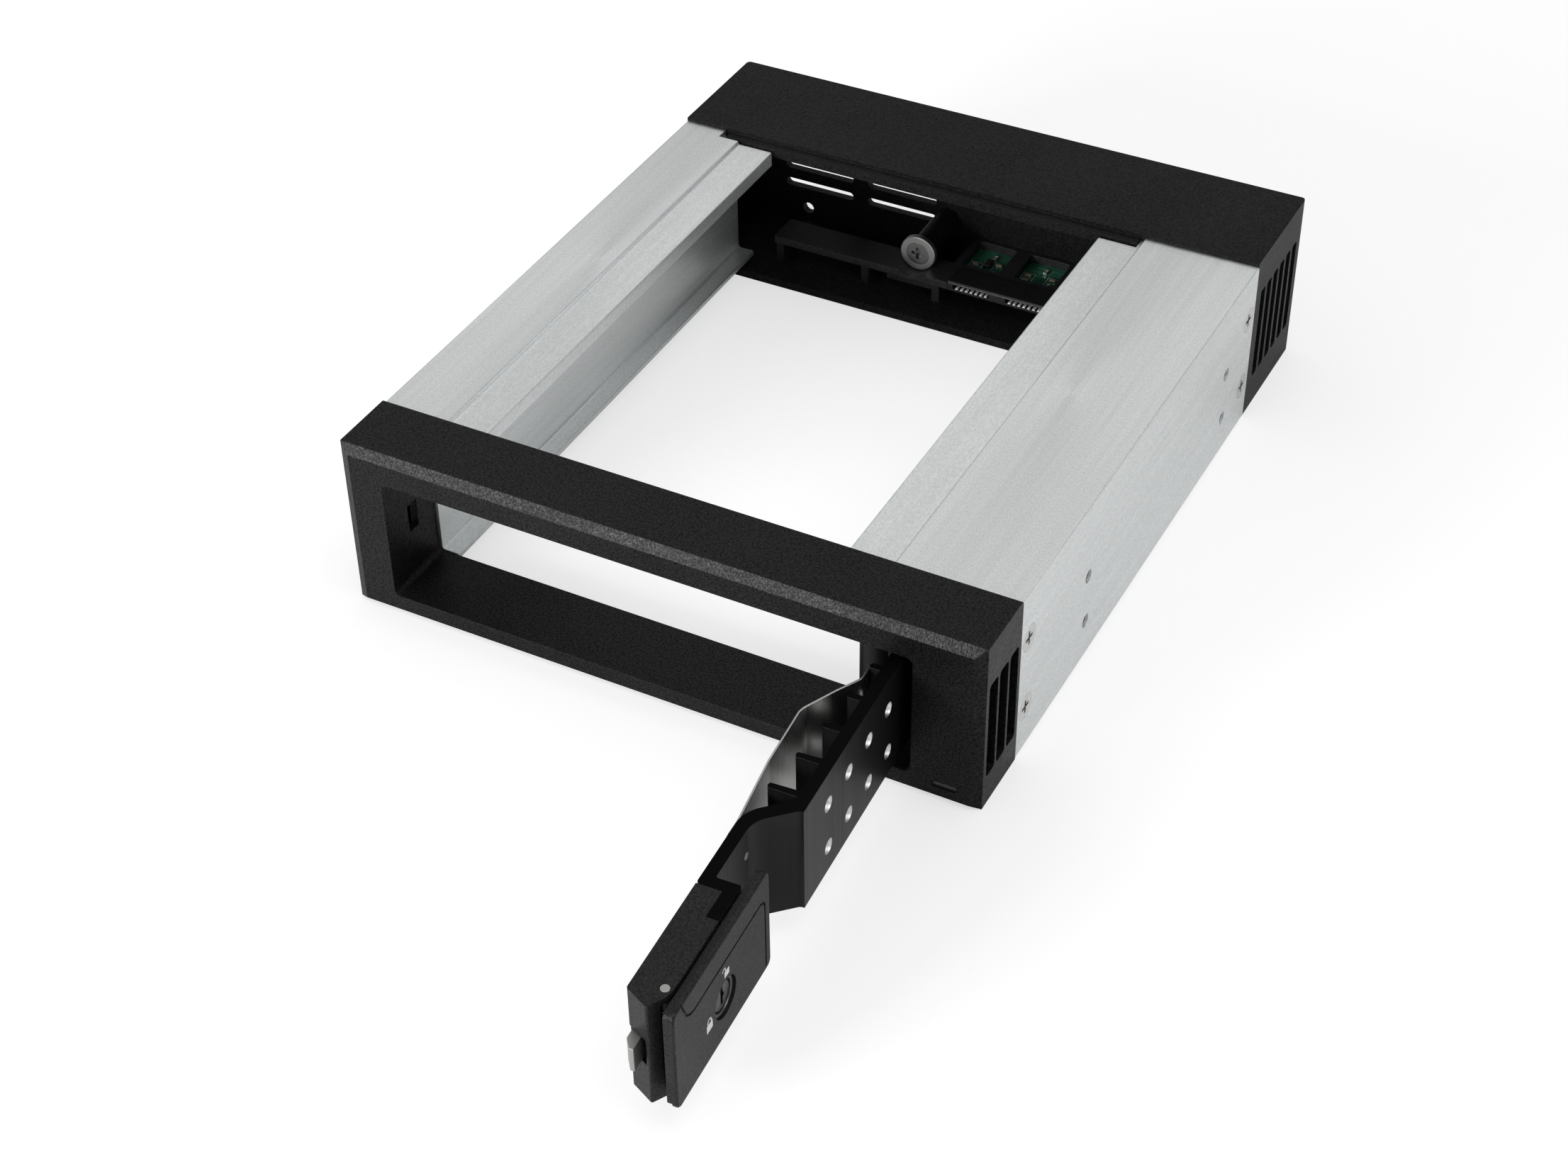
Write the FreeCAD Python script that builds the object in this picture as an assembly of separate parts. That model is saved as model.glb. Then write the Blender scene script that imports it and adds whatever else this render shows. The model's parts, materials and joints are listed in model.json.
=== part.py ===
"""Hot swap drive cage for one 3.5 inch drive in a 5.25 inch bay, with a swing-out door.

Millimetres. X runs to the right seen from the front, Y to the back, Z up. Every piece is drawn
with Y measured from the bezel's front face; the last step sets the origin in the middle of the
bezel's underside. The door, the handle, the latch and the lock are drawn with the door shut and
are then turned to the open stored position.
"""
import FreeCAD, Part
import math
import os

from FreeCAD import Vector

# ---- driving dimensions: the cage ----
WIDTH = 146.0
RAIL_HEIGHT = 40.7
BEZEL_RISE = 0.6
BEZEL_DEPTH = 17.4
CAP_RISE = 0.8
CAP_DEPTH = 31.2
CAP_SIDE_INSET = 0.15
STOP_IN_CAP = 12.8
LEFT_RAIL_WIDTH = 10.6
PLASTIC = 2.0
FRONT_WALL = 2.2
TUNNEL_WALL = 1.8
RAIL_WALL = 1.8
EDGE_DEPTH = 1.3
EDGE_INSET = 2.3
NECK_DEPTH = 8.0
NECK_WALL = 2.2
SEAT_GAP = 0.1

# ---- driving dimensions: the drive bay ----
DRIVE_WIDTH = 101.6
DRIVE_SIDE_GAP = 2.8
DRIVE_BASE = 5.0
DRIVE_FRONT = 11.7
DRIVE_LENGTH = 147.0
LEDGE_WIDTH = 4.2
LEDGE_THICK = 1.4
LEFT_FLANGE = 14.2
RIGHT_FLANGE = 9.2
FLANGE_STEP = 0.8
FLANGE_LIP = 1.9
FLANGE_NOTCH = 3.2
INNER_TAIL = 5.0
TAIL_HEIGHT = 17.0

# ---- the middle of the drive, which the pieces round it are placed from ----
HALF = WIDTH / 2
DRIVE_CENTRE_X = LEFT_RAIL_WIDTH + DRIVE_SIDE_GAP + DRIVE_WIDTH / 2 - HALF

# ---- driving dimensions: the front opening and the door ----
OPENING_REACH_LEFT = 54.2
OPENING_REACH_RIGHT = 66.8
OPENING_LEFT = OPENING_REACH_LEFT - DRIVE_CENTRE_X
OPENING_RIGHT = OPENING_REACH_RIGHT + DRIVE_CENTRE_X
OPENING_BASE = 4.6
OPENING_HEIGHT = 29.4
OPENING_CORNER = 1.5
DOOR_HEIGHT = 24.6
DOOR_SET_BACK = 1.3
DOOR_WALL = 2.6
DOOR_LIFT = 0.2
HINGE_OFFSET = 54.5
HINGE_X = DRIVE_CENTRE_X + HINGE_OFFSET
HINGE_Y = 10.2
HINGE_PIN_RADIUS = 1.5
HINGE_PIN_SEAT = 2.6
HINGE_PIN_ENTRY = 5.0
HINGE_BOSS_RADIUS = 3.5
HINGE_BUSH_GAP = 0.2
PIN_CLEARANCE = 0.06
HEEL_WALL = 2.4
HEEL_FIRST_ANGLE = -60.0
HEEL_LAST_ANGLE = -12.0
DOOR_OPEN_ANGLE = 93.0
DOOR_EDGE_GAP = 0.3
CORNER_OFFSET = 0.2
CORNER_X = DRIVE_CENTRE_X - CORNER_OFFSET
RECESS_DEPTH = 7.4
RECESS_END_OFFSET = 21.1
RECESS_END_X = DRIVE_CENTRE_X - RECESS_END_OFFSET
FLANGE_END_OFFSET = 30.3
FLANGE_END_X = DRIVE_CENTRE_X - FLANGE_END_OFFSET
FLANGE_FRONT = 3.7
FLANGE_THICK = 2.5
FIN_COUNT = 5
FIN_FIRST_OFFSET = 3.8
FIN_FIRST_X = DRIVE_CENTRE_X + FIN_FIRST_OFFSET
FIN_PITCH = 9.4
FIN_WALL = 1.3
FIN_FIRST_HEIGHT = 6.3
FIN_LAST_HEIGHT = 2.3
VENT_HOLE_RADIUS = 1.7
VENT_ROW_GAP = 10.9
VENT_ROW_LIFT = -0.9
VENT_OFFSET = 2.4
SPRING_THICK = 0.35
SPRING_INSET = 0.6
SPRING_CREST = 13.4
SPRING_SHOULDER = 9.3
SPRING_NEAR_OFFSET = 10.1
SPRING_NEAR_X = DRIVE_CENTRE_X + SPRING_NEAR_OFFSET
SPRING_CREST_OFFSET = 25.3
SPRING_CREST_X = DRIVE_CENTRE_X + SPRING_CREST_OFFSET
SPRING_FALL_OFFSET = 33.0
SPRING_FALL_X = DRIVE_CENTRE_X + SPRING_FALL_OFFSET
RIVET_RADIUS = 0.8
RIVET_HEAD = 1.3
RIVET_INSET = 8.6

# ---- driving dimensions: handle, latch and lock ----
HANDLE_FAR_OFFSET = 53.0
HANDLE_FAR_X = DRIVE_CENTRE_X - HANDLE_FAR_OFFSET
HANDLE_NEAR_OFFSET = 15.1
HANDLE_NEAR_X = DRIVE_CENTRE_X - HANDLE_NEAR_OFFSET
HANDLE_FRONT = 1.2
HANDLE_THICK = 2.2
HANDLE_HEIGHT = 23.8
HANDLE_COVER = 1.1
HANDLE_SEAM = 0.25
HANDLE_GAP = 0.3
HANDLE_CORNER = 1.6
HANDLE_PULL_ANGLE = 20.0
HANDLE_PIN_OFFSET = 47.7
HANDLE_PIN_X = DRIVE_CENTRE_X - HANDLE_PIN_OFFSET
HANDLE_PIN_Y = 5.3
HANDLE_PIN_RADIUS = 1.0
BARREL_RADIUS = 1.9
CRANK_REACH = 4.0
CRANK_TIP = 0.9
CRANK_NECK = 1.0
CRANK_HEIGHT = 3.4
HOUSING_FAR_OFFSET = 52.8
HOUSING_FAR_X = DRIVE_CENTRE_X - HOUSING_FAR_OFFSET
HOUSING_LIP_Y = 6.4
HOUSING_SLOPE = 2.6
HOUSING_WALL = 1.4
HOUSING_FLOOR = 8.0
POCKET_FAR_OFFSET = 50.4
POCKET_FAR_X = DRIVE_CENTRE_X - POCKET_FAR_OFFSET
BOLT_HEIGHT = 5.6
BOLT_FRONT = 8.2
BOLT_THICK = 2.2
BOLT_REACH = 2.0
BOLT_TAIL_OFFSET = 40.7
BOLT_TAIL_X = DRIVE_CENTRE_X - BOLT_TAIL_OFFSET
BOLT_GAP = 0.15
RETAINER_THICK = 0.6
COIL_WIRE = 0.22
COIL_RADIUS = 1.55
COIL_HEIGHT = 4.6
COIL_TURNS = 7
LOCK_OFFSET = 33.6
LOCK_X = DRIVE_CENTRE_X - LOCK_OFFSET
LOCK_DROP = 2.6
LOCK_SLEEVE_RADIUS = 4.2
LOCK_SLEEVE_INSET = 0.5
LOCK_BARREL_RADIUS = 3.2
LOCK_SHAFT_RADIUS = 2.5
LOCK_FACE_INSET = 0.8
LOCK_CLEARANCE = 0.08
LOCK_DEPTH = 6.2
CAM_LENGTH = 6.6
CAM_WIDTH = 3.0
CAM_THICK = 0.8
KEYWAY_LENGTH = 4.2
KEYWAY_WIDTH = 0.9
GROOVE_WIDTH = 0.5
GROOVE_DEPTH = 0.35

# ---- driving dimensions: backplane and fasteners ----
BOARD_THICK = 1.6
SHELF_TOP = 9.2
SHELF_DEPTH = 8.7
CONNECTOR_LEAD = 3.7
CONNECTOR_OFFSET = 20.85
CONNECTOR_X = DRIVE_CENTRE_X + CONNECTOR_OFFSET
CONTACT_PITCH = 1.27
SIGNAL_CONTACTS = 7
POWER_CONTACTS = 15
CONNECTOR_WIDTH = 36.4
CONNECTOR_HEIGHT = 2.5
CONNECTOR_DEPTH = 7.0
CONTACT_WIDTH = 0.6
CONTACT_THICK = 0.25
KEY_GAP = 5.0
SHELF_LEFT_OFFSET = 44.7
SHELF_LEFT = DRIVE_CENTRE_X - SHELF_LEFT_OFFSET
SHELF_RIGHT_OFFSET = 52.6
SHELF_RIGHT = DRIVE_CENTRE_X + SHELF_RIGHT_OFFSET
COVER_LEFT_OFFSET = 0.4
COVER_LEFT = DRIVE_CENTRE_X + COVER_LEFT_OFFSET
COVER_RIGHT_OFFSET = 28.3
COVER_RIGHT = DRIVE_CENTRE_X + COVER_RIGHT_OFFSET
BOARD_LEFT_OFFSET = 0.8
BOARD_LEFT = DRIVE_CENTRE_X + BOARD_LEFT_OFFSET
BOARD_SIDE_GAP = 8.0
BOARD_RIGHT = HALF - BOARD_SIDE_GAP
PILLAR_RADIUS = 2.6
DATA_SOCKET_INSET = 9.4
DATA_SOCKET_X = BOARD_RIGHT - DATA_SOCKET_INSET
DATA_SOCKET_WIDTH = 15.0
SOCKET_SPACING = 21.8
POWER_SOCKET_X = DATA_SOCKET_X - SOCKET_SPACING
POWER_SOCKET_WIDTH = 25.0
SOCKET_HEIGHT = 5.8
SOCKET_DEPTH = 9.4
SOCKET_WALL = 1.1
STOP_OFFSET = 7.2
STOP_X = DRIVE_CENTRE_X - STOP_OFFSET
STOP_Z = 12.5
STOP_POST_RADIUS = 3.0
STOP_WASHER_RADIUS = 4.6
STOP_WASHER_THICK = 1.6
PAN_HEAD_RADIUS = 2.6
PAN_HEAD_HEIGHT = 1.3
SMALL_SHANK_RADIUS = 1.2
SIDE_HOLE_RADIUS = 1.5
SIDE_HOLE_INSET = 16.25
SIDE_HOLE_SPACING = 79.25
SIDE_HOLE_LOW = 10.0
SIDE_HOLE_RISE = 11.84
BOSS_WALL = 2.5
BOSS_RADIUS = 3.2
SCREW_HEAD_RADIUS = 3.0
SCREW_SHANK_RADIUS = 1.45
SCREW_INSET = 3.9
SCREW_LOW = 11.0
SCREW_HIGH = 29.0

# ---- driving dimensions: vents, slots and the light ----
BEZEL_VENT_COUNT = 3
BEZEL_VENT_WIDTH = 4.0
BEZEL_VENT_PITCH = 4.8
BEZEL_VENT_FIRST = 2.6
BEZEL_VENT_LOW = 7.4
BEZEL_VENT_HIGH = 31.0
CAP_VENT_COUNT = 6
CAP_VENT_WIDTH = 2.9
CAP_VENT_PITCH = 4.2
CAP_VENT_FIRST = 4.0
CAP_VENT_LOW = 8.5
CAP_VENT_HIGH = 32.0
CAP_SLOT_ROWS = 5
CAP_SLOT_LENGTH = 19.0
CAP_SLOT_HEIGHT = 2.2
CAP_SLOT_PITCH = 5.0
CAP_SLOT_LOW = 10.3
CAP_SLOT_INSET = 11.6
CAP_SLOT_STEP = 23.0
CAP_HOLE_INSET = 17.8
CAP_HOLE_Z = 4.8
CAP_HOLE_RADIUS = 1.5
ROOF_TONGUE_INSET = 12.0
ROOF_TONGUE_REACH = 2.6
SHELF_LEG = 2.0
SHELF_LEG_OFFSET = 21.2
SHELF_LEG_X = DRIVE_CENTRE_X - SHELF_LEG_OFFSET
BOARD_WINDOW_START = 1.8
BOARD_WINDOW_WIDTH = 10.0
BOARD_WINDOW_STEP = 13.8
BOARD_WINDOW_EDGE = 1.9
LED_INSET = 5.1
LED_WIDTH = 5.1
LED_LOW = 3.2
LED_HEIGHT = 1.4
LED_PIPE_END = 10.0
LED_STEM_INSET = 0.6
LED_BOARD_MARGIN = 1.2
LED_BOARD_WIDTH = 7.4
LED_BOARD_THICK = 1.2
LED_BOARD_TOP = 9.0

# ---- sizes that follow ----
BEZEL_HEIGHT = RAIL_HEIGHT + BEZEL_RISE
CAP_HEIGHT = RAIL_HEIGHT + CAP_RISE
STOP_FACE = DRIVE_FRONT + DRIVE_LENGTH + STOP_WASHER_THICK
CAP_START = STOP_FACE - STOP_IN_CAP
RAIL_LENGTH = CAP_START - BEZEL_DEPTH
CONNECTOR_FACE_Y = DRIVE_FRONT + DRIVE_LENGTH - CONNECTOR_LEAD
SIDE_HOLE_REAR = CAP_START - SIDE_HOLE_INSET
SIDE_HOLE_FRONT = SIDE_HOLE_REAR - SIDE_HOLE_SPACING
LED_RIGHT = HALF - LED_INSET
LED_LEFT = LED_RIGHT - LED_WIDTH
CAP_END = CAP_START + CAP_DEPTH
CAP_WALL_FACE = CAP_END - PLASTIC
DRIVE_LEFT = DRIVE_CENTRE_X - DRIVE_WIDTH / 2
DRIVE_RIGHT = DRIVE_CENTRE_X + DRIVE_WIDTH / 2
BAY_LEFT = DRIVE_LEFT - DRIVE_SIDE_GAP
BAY_RIGHT = DRIVE_RIGHT + DRIVE_SIDE_GAP
LEDGE_TOP = DRIVE_BASE - SEAT_GAP
OPENING_TOP = OPENING_BASE + OPENING_HEIGHT
OPENING_MID = OPENING_BASE + OPENING_HEIGHT / 2
DOOR_MID = OPENING_MID + DOOR_LIFT
DOOR_BASE = DOOR_MID - DOOR_HEIGHT / 2
DOOR_TOP = DOOR_BASE + DOOR_HEIGHT
PANEL_BACK = DOOR_SET_BACK + DOOR_WALL
RECESS_FRONT = DOOR_SET_BACK + RECESS_DEPTH
RECESS_BACK = RECESS_FRONT + DOOR_WALL
RECESS_BACK_X = RECESS_END_X - DOOR_WALL
FLANGE_BACK = FLANGE_FRONT + FLANGE_THICK
HEEL_RADIUS = OPENING_RIGHT - HINGE_X - DOOR_EDGE_GAP
HANDLE_BASE = DOOR_MID - HANDLE_HEIGHT / 2
HANDLE_TOP = HANDLE_BASE + HANDLE_HEIGHT
HANDLE_BACK = HANDLE_FRONT + HANDLE_THICK
HANDLE_SPLIT = HANDLE_FRONT + HANDLE_COVER
LOCK_Z = DOOR_MID - LOCK_DROP
POCKET_BASE = DOOR_BASE + HOUSING_WALL
POCKET_TOP = DOOR_TOP - HOUSING_WALL
BOLT_TIP_X = HOUSING_FAR_X - BOLT_REACH
BOLT_BACK = BOLT_FRONT + BOLT_THICK
BOARD_TOP = SHELF_TOP - PLASTIC - SEAT_GAP
BOARD_BASE = BOARD_TOP - BOARD_THICK
SHELF_BACK = CONNECTOR_FACE_Y + SHELF_DEPTH
BOARD_REAR = CAP_WALL_FACE - SEAT_GAP
RETAINER_START = HANDLE_PIN_X + 3.0
SPRING_BASE = DOOR_MID + 3.7
CONTACT_Z = BOARD_TOP + 1.1
REAR_SOCKETS = (
    (DATA_SOCKET_X, DATA_SOCKET_WIDTH, SIGNAL_CONTACTS),
    (POWER_SOCKET_X, POWER_SOCKET_WIDTH, POWER_CONTACTS),
)
ORIGIN_Y = BEZEL_DEPTH / 2
HINGE = Vector(HINGE_X, HINGE_Y, 0)
UP = Vector(0, 0, 1)
BACK = Vector(0, 1, 0)
FRONT = Vector(0, -1, 0)
RIGHT = Vector(1, 0, 0)


def box(x0, x1, y0, y1, z0, z1):
    """Block between two opposite corners."""
    return Part.makeBox(x1 - x0, y1 - y0, z1 - z0, Vector(x0, y0, z0))


def rod(x, y, z, radius, length, axis=UP):
    """Round bar from a point along an axis."""
    return Part.makeCylinder(radius, length, Vector(x, y, z), axis)


def fuse(shapes):
    """One solid from several that touch or overlap."""
    body = shapes[0]
    if len(shapes) > 1:
        body = body.fuse(shapes[1:])
    return body.removeSplitter()


def cut(body, tools):
    """The body with every tool taken away."""
    return body.cut(tools)


def outline(corners, plane):
    """Closed face in the XY, XZ or YZ plane from (a, b, radius) corners, radius 0 for a sharp one."""
    places = {
        "xy": lambda a, b: Vector(a, b, 0),
        "xz": lambda a, b: Vector(a, 0, b),
        "yz": lambda a, b: Vector(0, a, b),
    }
    place = places[plane]
    points = [place(a, b) for a, b, _ in corners]
    count = len(points)
    edges = []
    starts = []
    ends = []
    for i, (_, _, radius) in enumerate(corners):
        here = points[i]
        to_last = (points[i - 1] - here).normalize()
        to_next = (points[(i + 1) % count] - here).normalize()
        if radius == 0:
            starts.append(here)
            ends.append(here)
            edges.append(None)
            continue
        half_angle = to_last.getAngle(to_next) / 2
        reach = radius / math.tan(half_angle)
        middle = (to_last + to_next).normalize()
        centre = here + middle * (radius / math.sin(half_angle))
        first = here + to_last * reach
        second = here + to_next * reach
        starts.append(first)
        ends.append(second)
        edges.append(Part.Arc(first, centre - middle * radius, second).toShape())
    sides = []
    for i in range(count):
        if edges[i] is not None:
            sides.append(edges[i])
        following = starts[(i + 1) % count]
        if ends[i].distanceToPoint(following) > 1e-6:
            sides.append(Part.LineSegment(ends[i], following).toShape())
    return Part.Face(Part.Wire(sides))


def slab(corners, plane, start, length):
    """Straight extrusion of an outline, from start along the plane's normal."""
    normals = {"xy": UP, "xz": BACK, "yz": RIGHT}
    normal = normals[plane]
    face = outline(corners, plane)
    face.translate(normal * start)
    solid = face.extrude(normal * length)
    return solid


def rounded_box(x0, x1, y0, y1, z0, z1, radius, plane):
    """Block whose four edges along the plane's normal are rounded."""
    if plane == "xz":
        corners = [(x0, z0, radius), (x1, z0, radius), (x1, z1, radius), (x0, z1, radius)]
        return slab(corners, plane, y0, y1 - y0)
    if plane == "yz":
        corners = [(y0, z0, radius), (y1, z0, radius), (y1, z1, radius), (y0, z1, radius)]
        return slab(corners, plane, x0, x1 - x0)
    corners = [(x0, y0, radius), (x1, y0, radius), (x1, y1, radius), (x0, y1, radius)]
    return slab(corners, plane, z0, z1 - z0)


def mirror_x(shape):
    """Copy on the other side of the middle plane."""
    return shape.mirror(Vector(0, 0, 0), RIGHT)


def opened(shape):
    """A door-side piece turned from the shut place to the open stored place."""
    turned = shape.copy()
    turned.rotate(HINGE, UP, DOOR_OPEN_ANGLE)
    return turned


def countersunk(x, y, z, axis, length, slack=0.0):
    """Cone head whose top lies at the point, then the shank, along an axis into the material."""
    depth = SCREW_HEAD_RADIUS - SCREW_SHANK_RADIUS
    head = Part.makeCone(SCREW_HEAD_RADIUS, SCREW_SHANK_RADIUS, depth, Vector(x, y, z), axis)
    shank = rod(x, y, z, SCREW_SHANK_RADIUS - slack, length, axis)
    return head.fuse(shank)


def cross_recess(x, y, z, axis, size, depth):
    """Cutter for the cross in a screw head at a point, into the material along an axis."""
    width = size / 4
    along = box(-size / 2, size / 2, -width / 2, width / 2, -0.5, depth)
    across = box(-width / 2, width / 2, -size / 2, size / 2, -0.5, depth)
    cross = along.fuse(across)
    cross.Placement = FreeCAD.Placement(Vector(x, y, z), FreeCAD.Rotation(UP, axis))
    return cross


def pan_screw(x, y, z, axis, length):
    """Domed head standing on the point, with its shank running along the axis."""
    head = rod(x, y, z, PAN_HEAD_RADIUS, PAN_HEAD_HEIGHT, axis * -1)
    rims = [edge for edge in head.Edges if edge.BoundBox.Center.distanceToPoint(
        Vector(x, y, z) - axis * PAN_HEAD_HEIGHT) < 0.1 and edge.Closed]
    head = head.makeFillet(PAN_HEAD_HEIGHT * 0.6, rims)
    body = head.fuse(rod(x, y, z, SMALL_SHANK_RADIUS, length, axis))
    top = Vector(x, y, z) - axis * PAN_HEAD_HEIGHT
    return body.cut(cross_recess(top.x, top.y, top.z, axis, PAN_HEAD_RADIUS * 1.1, 0.8))


def side_screw_places(y):
    """The two heights of the fixing screws on each side at one depth."""
    return [(side, y, z) for side in (-1, 1) for z in (SCREW_LOW, SCREW_HIGH)]


FRONT_SCREWS = side_screw_places(BEZEL_DEPTH + SCREW_INSET)
REAR_SCREWS = side_screw_places(CAP_START - SCREW_INSET)


def screw_cutters(places):
    """Countersinks and holes for a set of side screws."""
    length = RAIL_WALL + NECK_WALL + 2
    return [countersunk(side * HALF, y, z, RIGHT * -side, length) for side, y, z in places]


def side_screws(places):
    """The screws themselves, each with its cross recess."""
    screws = []
    for side, y, z in places:
        axis = RIGHT * -side
        screw = countersunk(side * HALF, y, z, axis, RAIL_WALL + NECK_WALL + 1, 0.03)
        screws.append(screw.cut(cross_recess(side * HALF, y, z, axis, SCREW_HEAD_RADIUS * 1.1, 1.1)))
    return Part.makeCompound(screws)


# ---- bezel ----
def neck(side, start, length):
    """Wall that slides inside a rail and takes its two screws."""
    outer = HALF - RAIL_WALL - SEAT_GAP
    low = OPENING_BASE
    high = RAIL_HEIGHT - FLANGE_STEP - RAIL_WALL - 1.0
    wall = box(outer - NECK_WALL, outer, start, start + length, low, high)
    return wall if side > 0 else mirror_x(wall)


def bezel_blank():
    """Outer block with the sloped border round its front face."""
    front = outline(
        [(-HALF + EDGE_INSET, 1.0, 0), (HALF - EDGE_INSET, 1.0, 0),
         (HALF - EDGE_INSET, BEZEL_HEIGHT - EDGE_INSET, 0),
         (-HALF + EDGE_INSET, BEZEL_HEIGHT - EDGE_INSET, 0)], "xz")
    back = outline([(-HALF, 0, 0), (HALF, 0, 0), (HALF, BEZEL_HEIGHT, 0), (-HALF, BEZEL_HEIGHT, 0)], "xz")
    back.translate(Vector(0, EDGE_DEPTH, 0))
    border = Part.makeLoft([front.OuterWire, back.OuterWire], True, True)
    block = box(-HALF, HALF, EDGE_DEPTH, BEZEL_DEPTH, 0, BEZEL_HEIGHT)
    top_edges = [edge for edge in block.Edges
                 if edge.BoundBox.ZMin > BEZEL_HEIGHT - 0.01 and edge.BoundBox.YMin > BEZEL_DEPTH - 0.01]
    block = block.makeFillet(0.8, top_edges)
    return border.fuse(block)


def bezel_side_vents(side):
    """Three tall slots through one side wall."""
    cutters = []
    for i in range(BEZEL_VENT_COUNT):
        y0 = BEZEL_VENT_FIRST + i * BEZEL_VENT_PITCH
        vent = rounded_box(HALF - PLASTIC - 1, HALF + 1, y0, y0 + BEZEL_VENT_WIDTH,
                           BEZEL_VENT_LOW, BEZEL_VENT_HIGH, 1.0, "yz")
        cutters.append(vent if side > 0 else mirror_x(vent))
    return cutters


def front_bezel():
    """Hollow moulding: front wall, tunnel round the drive opening, hinge bosses and rail necks."""
    body = bezel_blank()
    hollow = box(-HALF + PLASTIC, HALF - PLASTIC, FRONT_WALL, BEZEL_DEPTH + 1,
                 PLASTIC, BEZEL_HEIGHT - PLASTIC)
    tunnel = box(-OPENING_LEFT - TUNNEL_WALL, OPENING_RIGHT + TUNNEL_WALL, 0, BEZEL_DEPTH,
                 OPENING_BASE - TUNNEL_WALL, OPENING_TOP + TUNNEL_WALL)
    body = cut(body, [hollow.cut(tunnel)])
    additions = []
    for z0, z1 in ((PLASTIC / 2, OPENING_BASE), (OPENING_TOP, BEZEL_HEIGHT - PLASTIC / 2)):
        additions.append(rod(HINGE_X, HINGE_Y, z0, HINGE_BOSS_RADIUS, z1 - z0))
    for side in (-1, 1):
        additions.append(neck(side, BEZEL_DEPTH - 4, 4 + NECK_DEPTH))
        shelf = box(HALF - RAIL_WALL - NECK_WALL - 0.6, HALF - PLASTIC / 2,
                    BEZEL_DEPTH - 4, BEZEL_DEPTH, 32.5, 35.0)
        additions.append(shelf if side > 0 else mirror_x(shelf))
    body = body.fuse(additions)
    opening = rounded_box(-OPENING_LEFT, OPENING_RIGHT, -1, BEZEL_DEPTH + 1,
                          OPENING_BASE, OPENING_TOP, OPENING_CORNER, "xz")
    cutters = [opening]
    for side in (-1, 1):
        cutters += bezel_side_vents(side)
    cutters += screw_cutters(FRONT_SCREWS)
    cutters.append(led_window(-1, FRONT_WALL + 1))
    cutters.append(strike_window())
    for z in (OPENING_BASE - HINGE_PIN_SEAT, OPENING_TOP):
        cutters.append(rod(HINGE_X, HINGE_Y, z, HINGE_PIN_RADIUS, HINGE_PIN_SEAT))
    return cut(body, cutters).removeSplitter()


def strike_window():
    """Window in the tunnel's left wall that the latch bolt enters."""
    slack = 0.6
    return box(-OPENING_LEFT - TUNNEL_WALL - 1, -OPENING_LEFT + 1, BOLT_FRONT - slack, BOLT_BACK + slack,
               DOOR_MID - BOLT_HEIGHT / 2 - slack, DOOR_MID + BOLT_HEIGHT / 2 + slack)


def led_window(y0, y1):
    """Narrow slot for the activity light, low on the right of the front wall."""
    return box(LED_LEFT, LED_RIGHT, y0, y1, LED_LOW, LED_LOW + LED_HEIGHT)


def led_light_pipe():
    """Clear bar that fills the slot and reaches back to the light board."""
    face = led_window(0.4, FRONT_WALL)
    stem = box(LED_LEFT + LED_STEM_INSET, LED_RIGHT - LED_STEM_INSET, FRONT_WALL, LED_PIPE_END,
               LED_LOW, LED_LOW + LED_HEIGHT)
    return fuse([face, stem])


def led_board():
    """Small board behind the light pipe, with its lamp body."""
    side = LED_LEFT - LED_BOARD_MARGIN
    start = LED_PIPE_END + SEAT_GAP
    return box(side, side + LED_BOARD_WIDTH, start, start + LED_BOARD_THICK,
               PLASTIC + SEAT_GAP, LED_BOARD_TOP)


# ---- rails ----
def rail_profile(side):
    """Section of one rail, drawn on the right-hand side and mirrored for the left."""
    inner = BAY_RIGHT if side > 0 else -BAY_LEFT
    flange = RIGHT_FLANGE if side > 0 else LEFT_FLANGE
    top = RAIL_HEIGHT
    under = top - RAIL_WALL
    step_x = inner + 1.1 if side > 0 else inner - 5.1
    low_top = top - FLANGE_STEP
    lip_base = low_top - RAIL_WALL - FLANGE_LIP
    ledge_low = LEDGE_TOP - LEDGE_THICK
    return [
        (HALF, 0, 0.6), (HALF, top, 0.6), (step_x, top, 0.2), (step_x - 0.4, low_top, 0.2),
        (inner - flange, low_top, 0.3), (inner - flange, lip_base, 0.3),
        (inner - flange + RAIL_WALL, lip_base, 0.3), (inner - flange + RAIL_WALL, low_top - RAIL_WALL, 0.5),
        (inner, low_top - RAIL_WALL, 0.8), (inner, LEDGE_TOP, 0.8),
        (inner - LEDGE_WIDTH, LEDGE_TOP, 0.3), (inner - LEDGE_WIDTH, ledge_low, 0.3),
        (inner, ledge_low, 0.5), (inner, 0, 0.3),
    ]


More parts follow.
